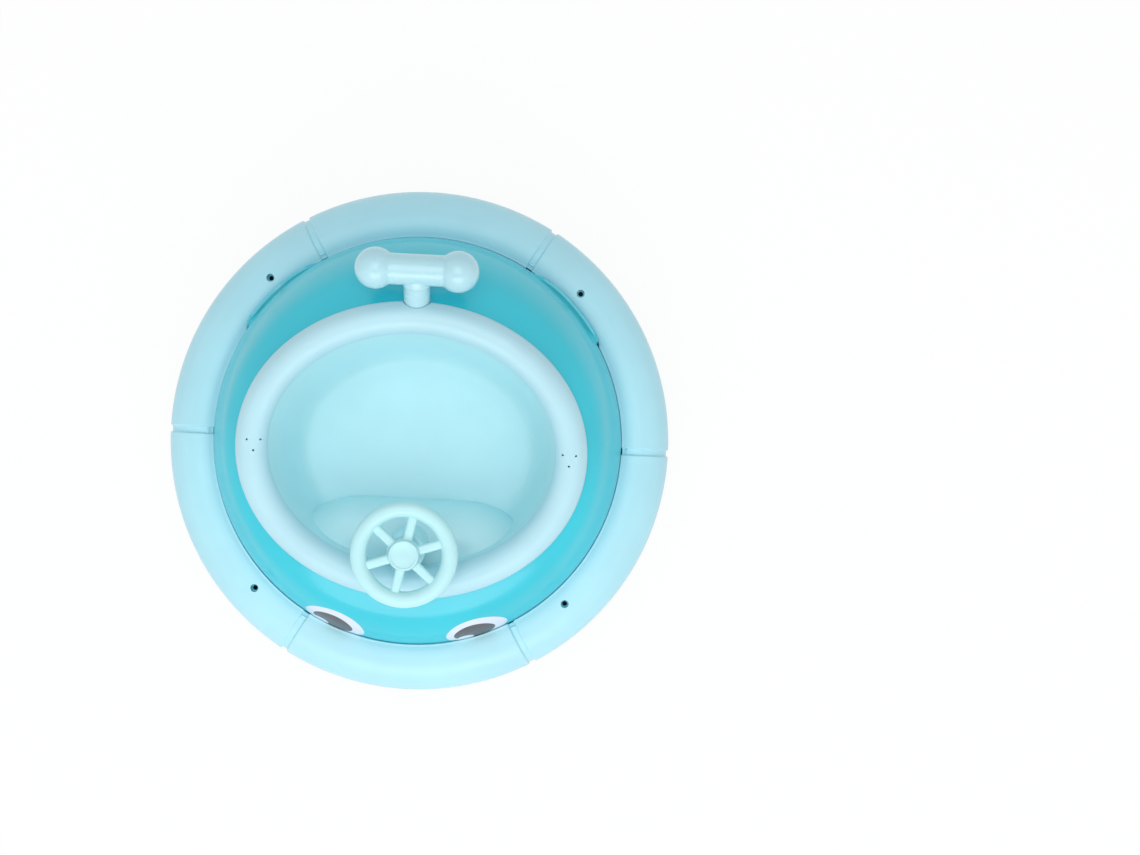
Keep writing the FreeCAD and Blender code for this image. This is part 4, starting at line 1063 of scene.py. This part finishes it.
def frame_finishes():
    """Which finish each remaining frame piece gets."""
    steel = metal("spring_steel", (0.5, 0.52, 0.55))
    zinc = metal("zinc_screw", (0.55, 0.57, 0.6))
    brass = metal("turned_brass", (0.72, 0.52, 0.22), 0.25, 0.3)
    iron = metal("cast_iron", (0.16, 0.16, 0.17), 0.55, 0.5)
    return {"hull_seal": soft_rubber(), "stern_seal": soft_rubber(), "tub_screws": zinc,
            "case_screws": zinc, "axle_screw": zinc, "tail_socket": acetal(),
            "tail_plug": acetal(), "drive_case_front": acetal(), "drive_case_rear": acetal(),
            "wheel_axle": acetal(), "cord_drum": acetal(), "drum_gear": acetal(),
            "prop_pinion": acetal(), "mainspring": steel, "drum_shaft": steel,
            "prop_shaft": steel, "stern_bush": brass, "ballast_weight": iron,
            "propeller_guard": part_plastic("body"), "propeller": part_plastic("handle")}


class BOAT_OT_mechanism(bpy.types.Operator):
    """Give the drive, the stern gear and the small hidden pieces their finishes"""
    bl_idname = "boat.mechanism"
    bl_label = "Mechanism"

    def execute(self, context):
        for name, material in frame_finishes().items():
            mesh = frame["nodes"][name].data
            mesh.materials.clear()
            mesh.materials.append(material)
        return {"FINISHED"}


# Stage

CAMERA_HEIGHT = 1050 * MM
CAMERA_PLACE = (72.1 * MM, 10.1 * MM)
CAMERA_TURN = 2.96
CAMERA_LENS = 68.7


LIGHT_AIM = Vector((0, 0, 0.05))


def area_light(name, place, size, power):
    """A rectangular lamp that points at the middle of the boat."""
    lamp = bpy.data.lights.new(name, "AREA")
    lamp.shape = "RECTANGLE"
    lamp.size, lamp.size_y = size
    lamp.energy = power
    holder = bpy.data.objects.new(name, lamp)
    holder.location = place
    way = LIGHT_AIM - Vector(place)
    holder.rotation_euler = way.to_track_quat("-Z", "Y").to_euler()
    bpy.context.scene.collection.objects.link(holder)


def white_for_camera(tree, plain, shade):
    """Show a plain white to the camera and to gloss and glass; keep a share of the shading."""
    path = node(tree, "ShaderNodeLightPath")
    seen = path.outputs["Is Camera Ray"]
    for label in ("Is Glossy Ray", "Is Transmission Ray"):
        either = node(tree, "ShaderNodeMath", operation="MAXIMUM")
        link(tree, seen, either.inputs[0])
        link(tree, path.outputs[label], either.inputs[1])
        seen = either.outputs["Value"]
    mix = node(tree, "ShaderNodeMixShader")
    part = node(tree, "ShaderNodeMath", operation="MULTIPLY")
    link(tree, seen, part.inputs[0])
    part.inputs[1].default_value = shade
    link(tree, part.outputs["Value"], mix.inputs[0])
    link(tree, plain[0], mix.inputs[1])
    link(tree, plain[1], mix.inputs[2])
    return mix.outputs["Shader"]


class BOAT_OT_stage(bpy.types.Operator):
    """Set the camera, the soft studio light and the pale floor"""
    bl_idname = "boat.stage"
    bl_label = "Stage"

    def execute(self, context):
        scene = context.scene
        scene.view_settings.view_transform = "Standard"
        camera = bpy.data.objects.new("camera", bpy.data.cameras.new("camera"))
        camera.data.sensor_width = 36
        camera.data.lens = CAMERA_LENS
        camera.location = (*CAMERA_PLACE, RING_LEVEL + CAMERA_HEIGHT)
        camera.rotation_euler = (0, 0, math.radians(CAMERA_TURN))
        scene.collection.objects.link(camera)
        scene.camera = camera

        world = bpy.data.worlds.new("studio")
        scene.world = world
        world.use_nodes = True
        tree = world.node_tree
        dome = tree.nodes["Background"]
        dome.inputs["Color"].default_value = (0.93, 0.97, 1.0, 1)
        dome.inputs["Strength"].default_value = 0.62
        clear = node(tree, "ShaderNodeBackground", Color=(1, 1, 1, 1), Strength=1.0)
        link(tree, white_for_camera(tree, (dome.outputs[0], clear.outputs[0]), 1.0),
             tree.nodes["World Output"].inputs["Surface"])

        area_light("front_softbox", (0.05, -1.0, 0.95), (1.3, 0.7), 7.5)
        area_light("left_softbox", (-0.95, -0.45, 0.9), (0.45, 1.0), 0.7)
        area_light("right_softbox", (0.95, -0.45, 0.9), (0.45, 1.0), 0.7)
        area_light("top_softbox", (0.0, 0.2, 1.6), (1.0, 1.0), 5.6)

        bm = bmesh.new()
        bmesh.ops.create_grid(bm, x_segments=8, y_segments=8, size=3.0)
        bmesh.ops.translate(bm, verts=bm.verts, vec=(0, 0, FOOT_LEVEL - 0.05 * MM))
        mesh = plain_mesh(bm, "floor")
        floor = bpy.data.objects.new("floor", mesh)
        scene.collection.objects.link(floor)
        material = bpy.data.materials.new("pale_floor")
        material.use_nodes = True
        tree = material.node_tree
        surface = tree.nodes["Principled BSDF"]
        surface.inputs["Base Color"].default_value = (0.9, 0.9, 0.9, 1)
        surface.inputs["Roughness"].default_value = 0.9
        glow = node(tree, "ShaderNodeEmission", Color=(1, 1, 1, 1), Strength=1.0)
        link(tree, white_for_camera(tree, (surface.outputs[0], glow.outputs[0]), 0.92),
             tree.nodes["Material Output"].inputs["Surface"])
        mesh.materials.append(material)
        return {"FINISHED"}


class BOAT_PT_panel(bpy.types.Panel):
    """Lists the boat's sizes, colours and steps"""
    bl_idname = "BOAT_PT_panel"
    bl_label = "Bath boat"
    bl_space_type = "VIEW_3D"
    bl_region_type = "UI"
    bl_category = "Bath boat"

    def draw(self, context):
        for holder in (context.scene.boat_sizes, context.scene.boat_colours):
            for label in holder.bl_rna.properties.keys():
                if label not in ("rna_type", "name"):
                    self.layout.prop(holder, label)
        for step in STEPS:
            self.layout.operator(step.bl_idname)


STEPS = (BOAT_OT_stage, BOAT_OT_float_ring, BOAT_OT_body, BOAT_OT_cockpit, BOAT_OT_steering,
         BOAT_OT_tail, BOAT_OT_eyes, BOAT_OT_mechanism)
CLASSES = (BoatSizes, BoatColours) + STEPS + (BOAT_PT_panel,)


def register():
    for item in CLASSES:
        bpy.utils.register_class(item)
    bpy.types.Scene.boat_sizes = PointerProperty(type=BoatSizes)
    bpy.types.Scene.boat_colours = PointerProperty(type=BoatColours)


def unregister():
    del bpy.types.Scene.boat_colours
    del bpy.types.Scene.boat_sizes
    for item in reversed(CLASSES):
        bpy.utils.unregister_class(item)


def main():
    register()
    bpy.ops.boat.stage()
    bpy.ops.boat.float_ring()
    bpy.ops.boat.body()
    bpy.ops.boat.cockpit()
    bpy.ops.boat.steering()
    bpy.ops.boat.tail()
    bpy.ops.boat.eyes()
    bpy.ops.boat.mechanism()


if __name__ == "__main__":
    main()
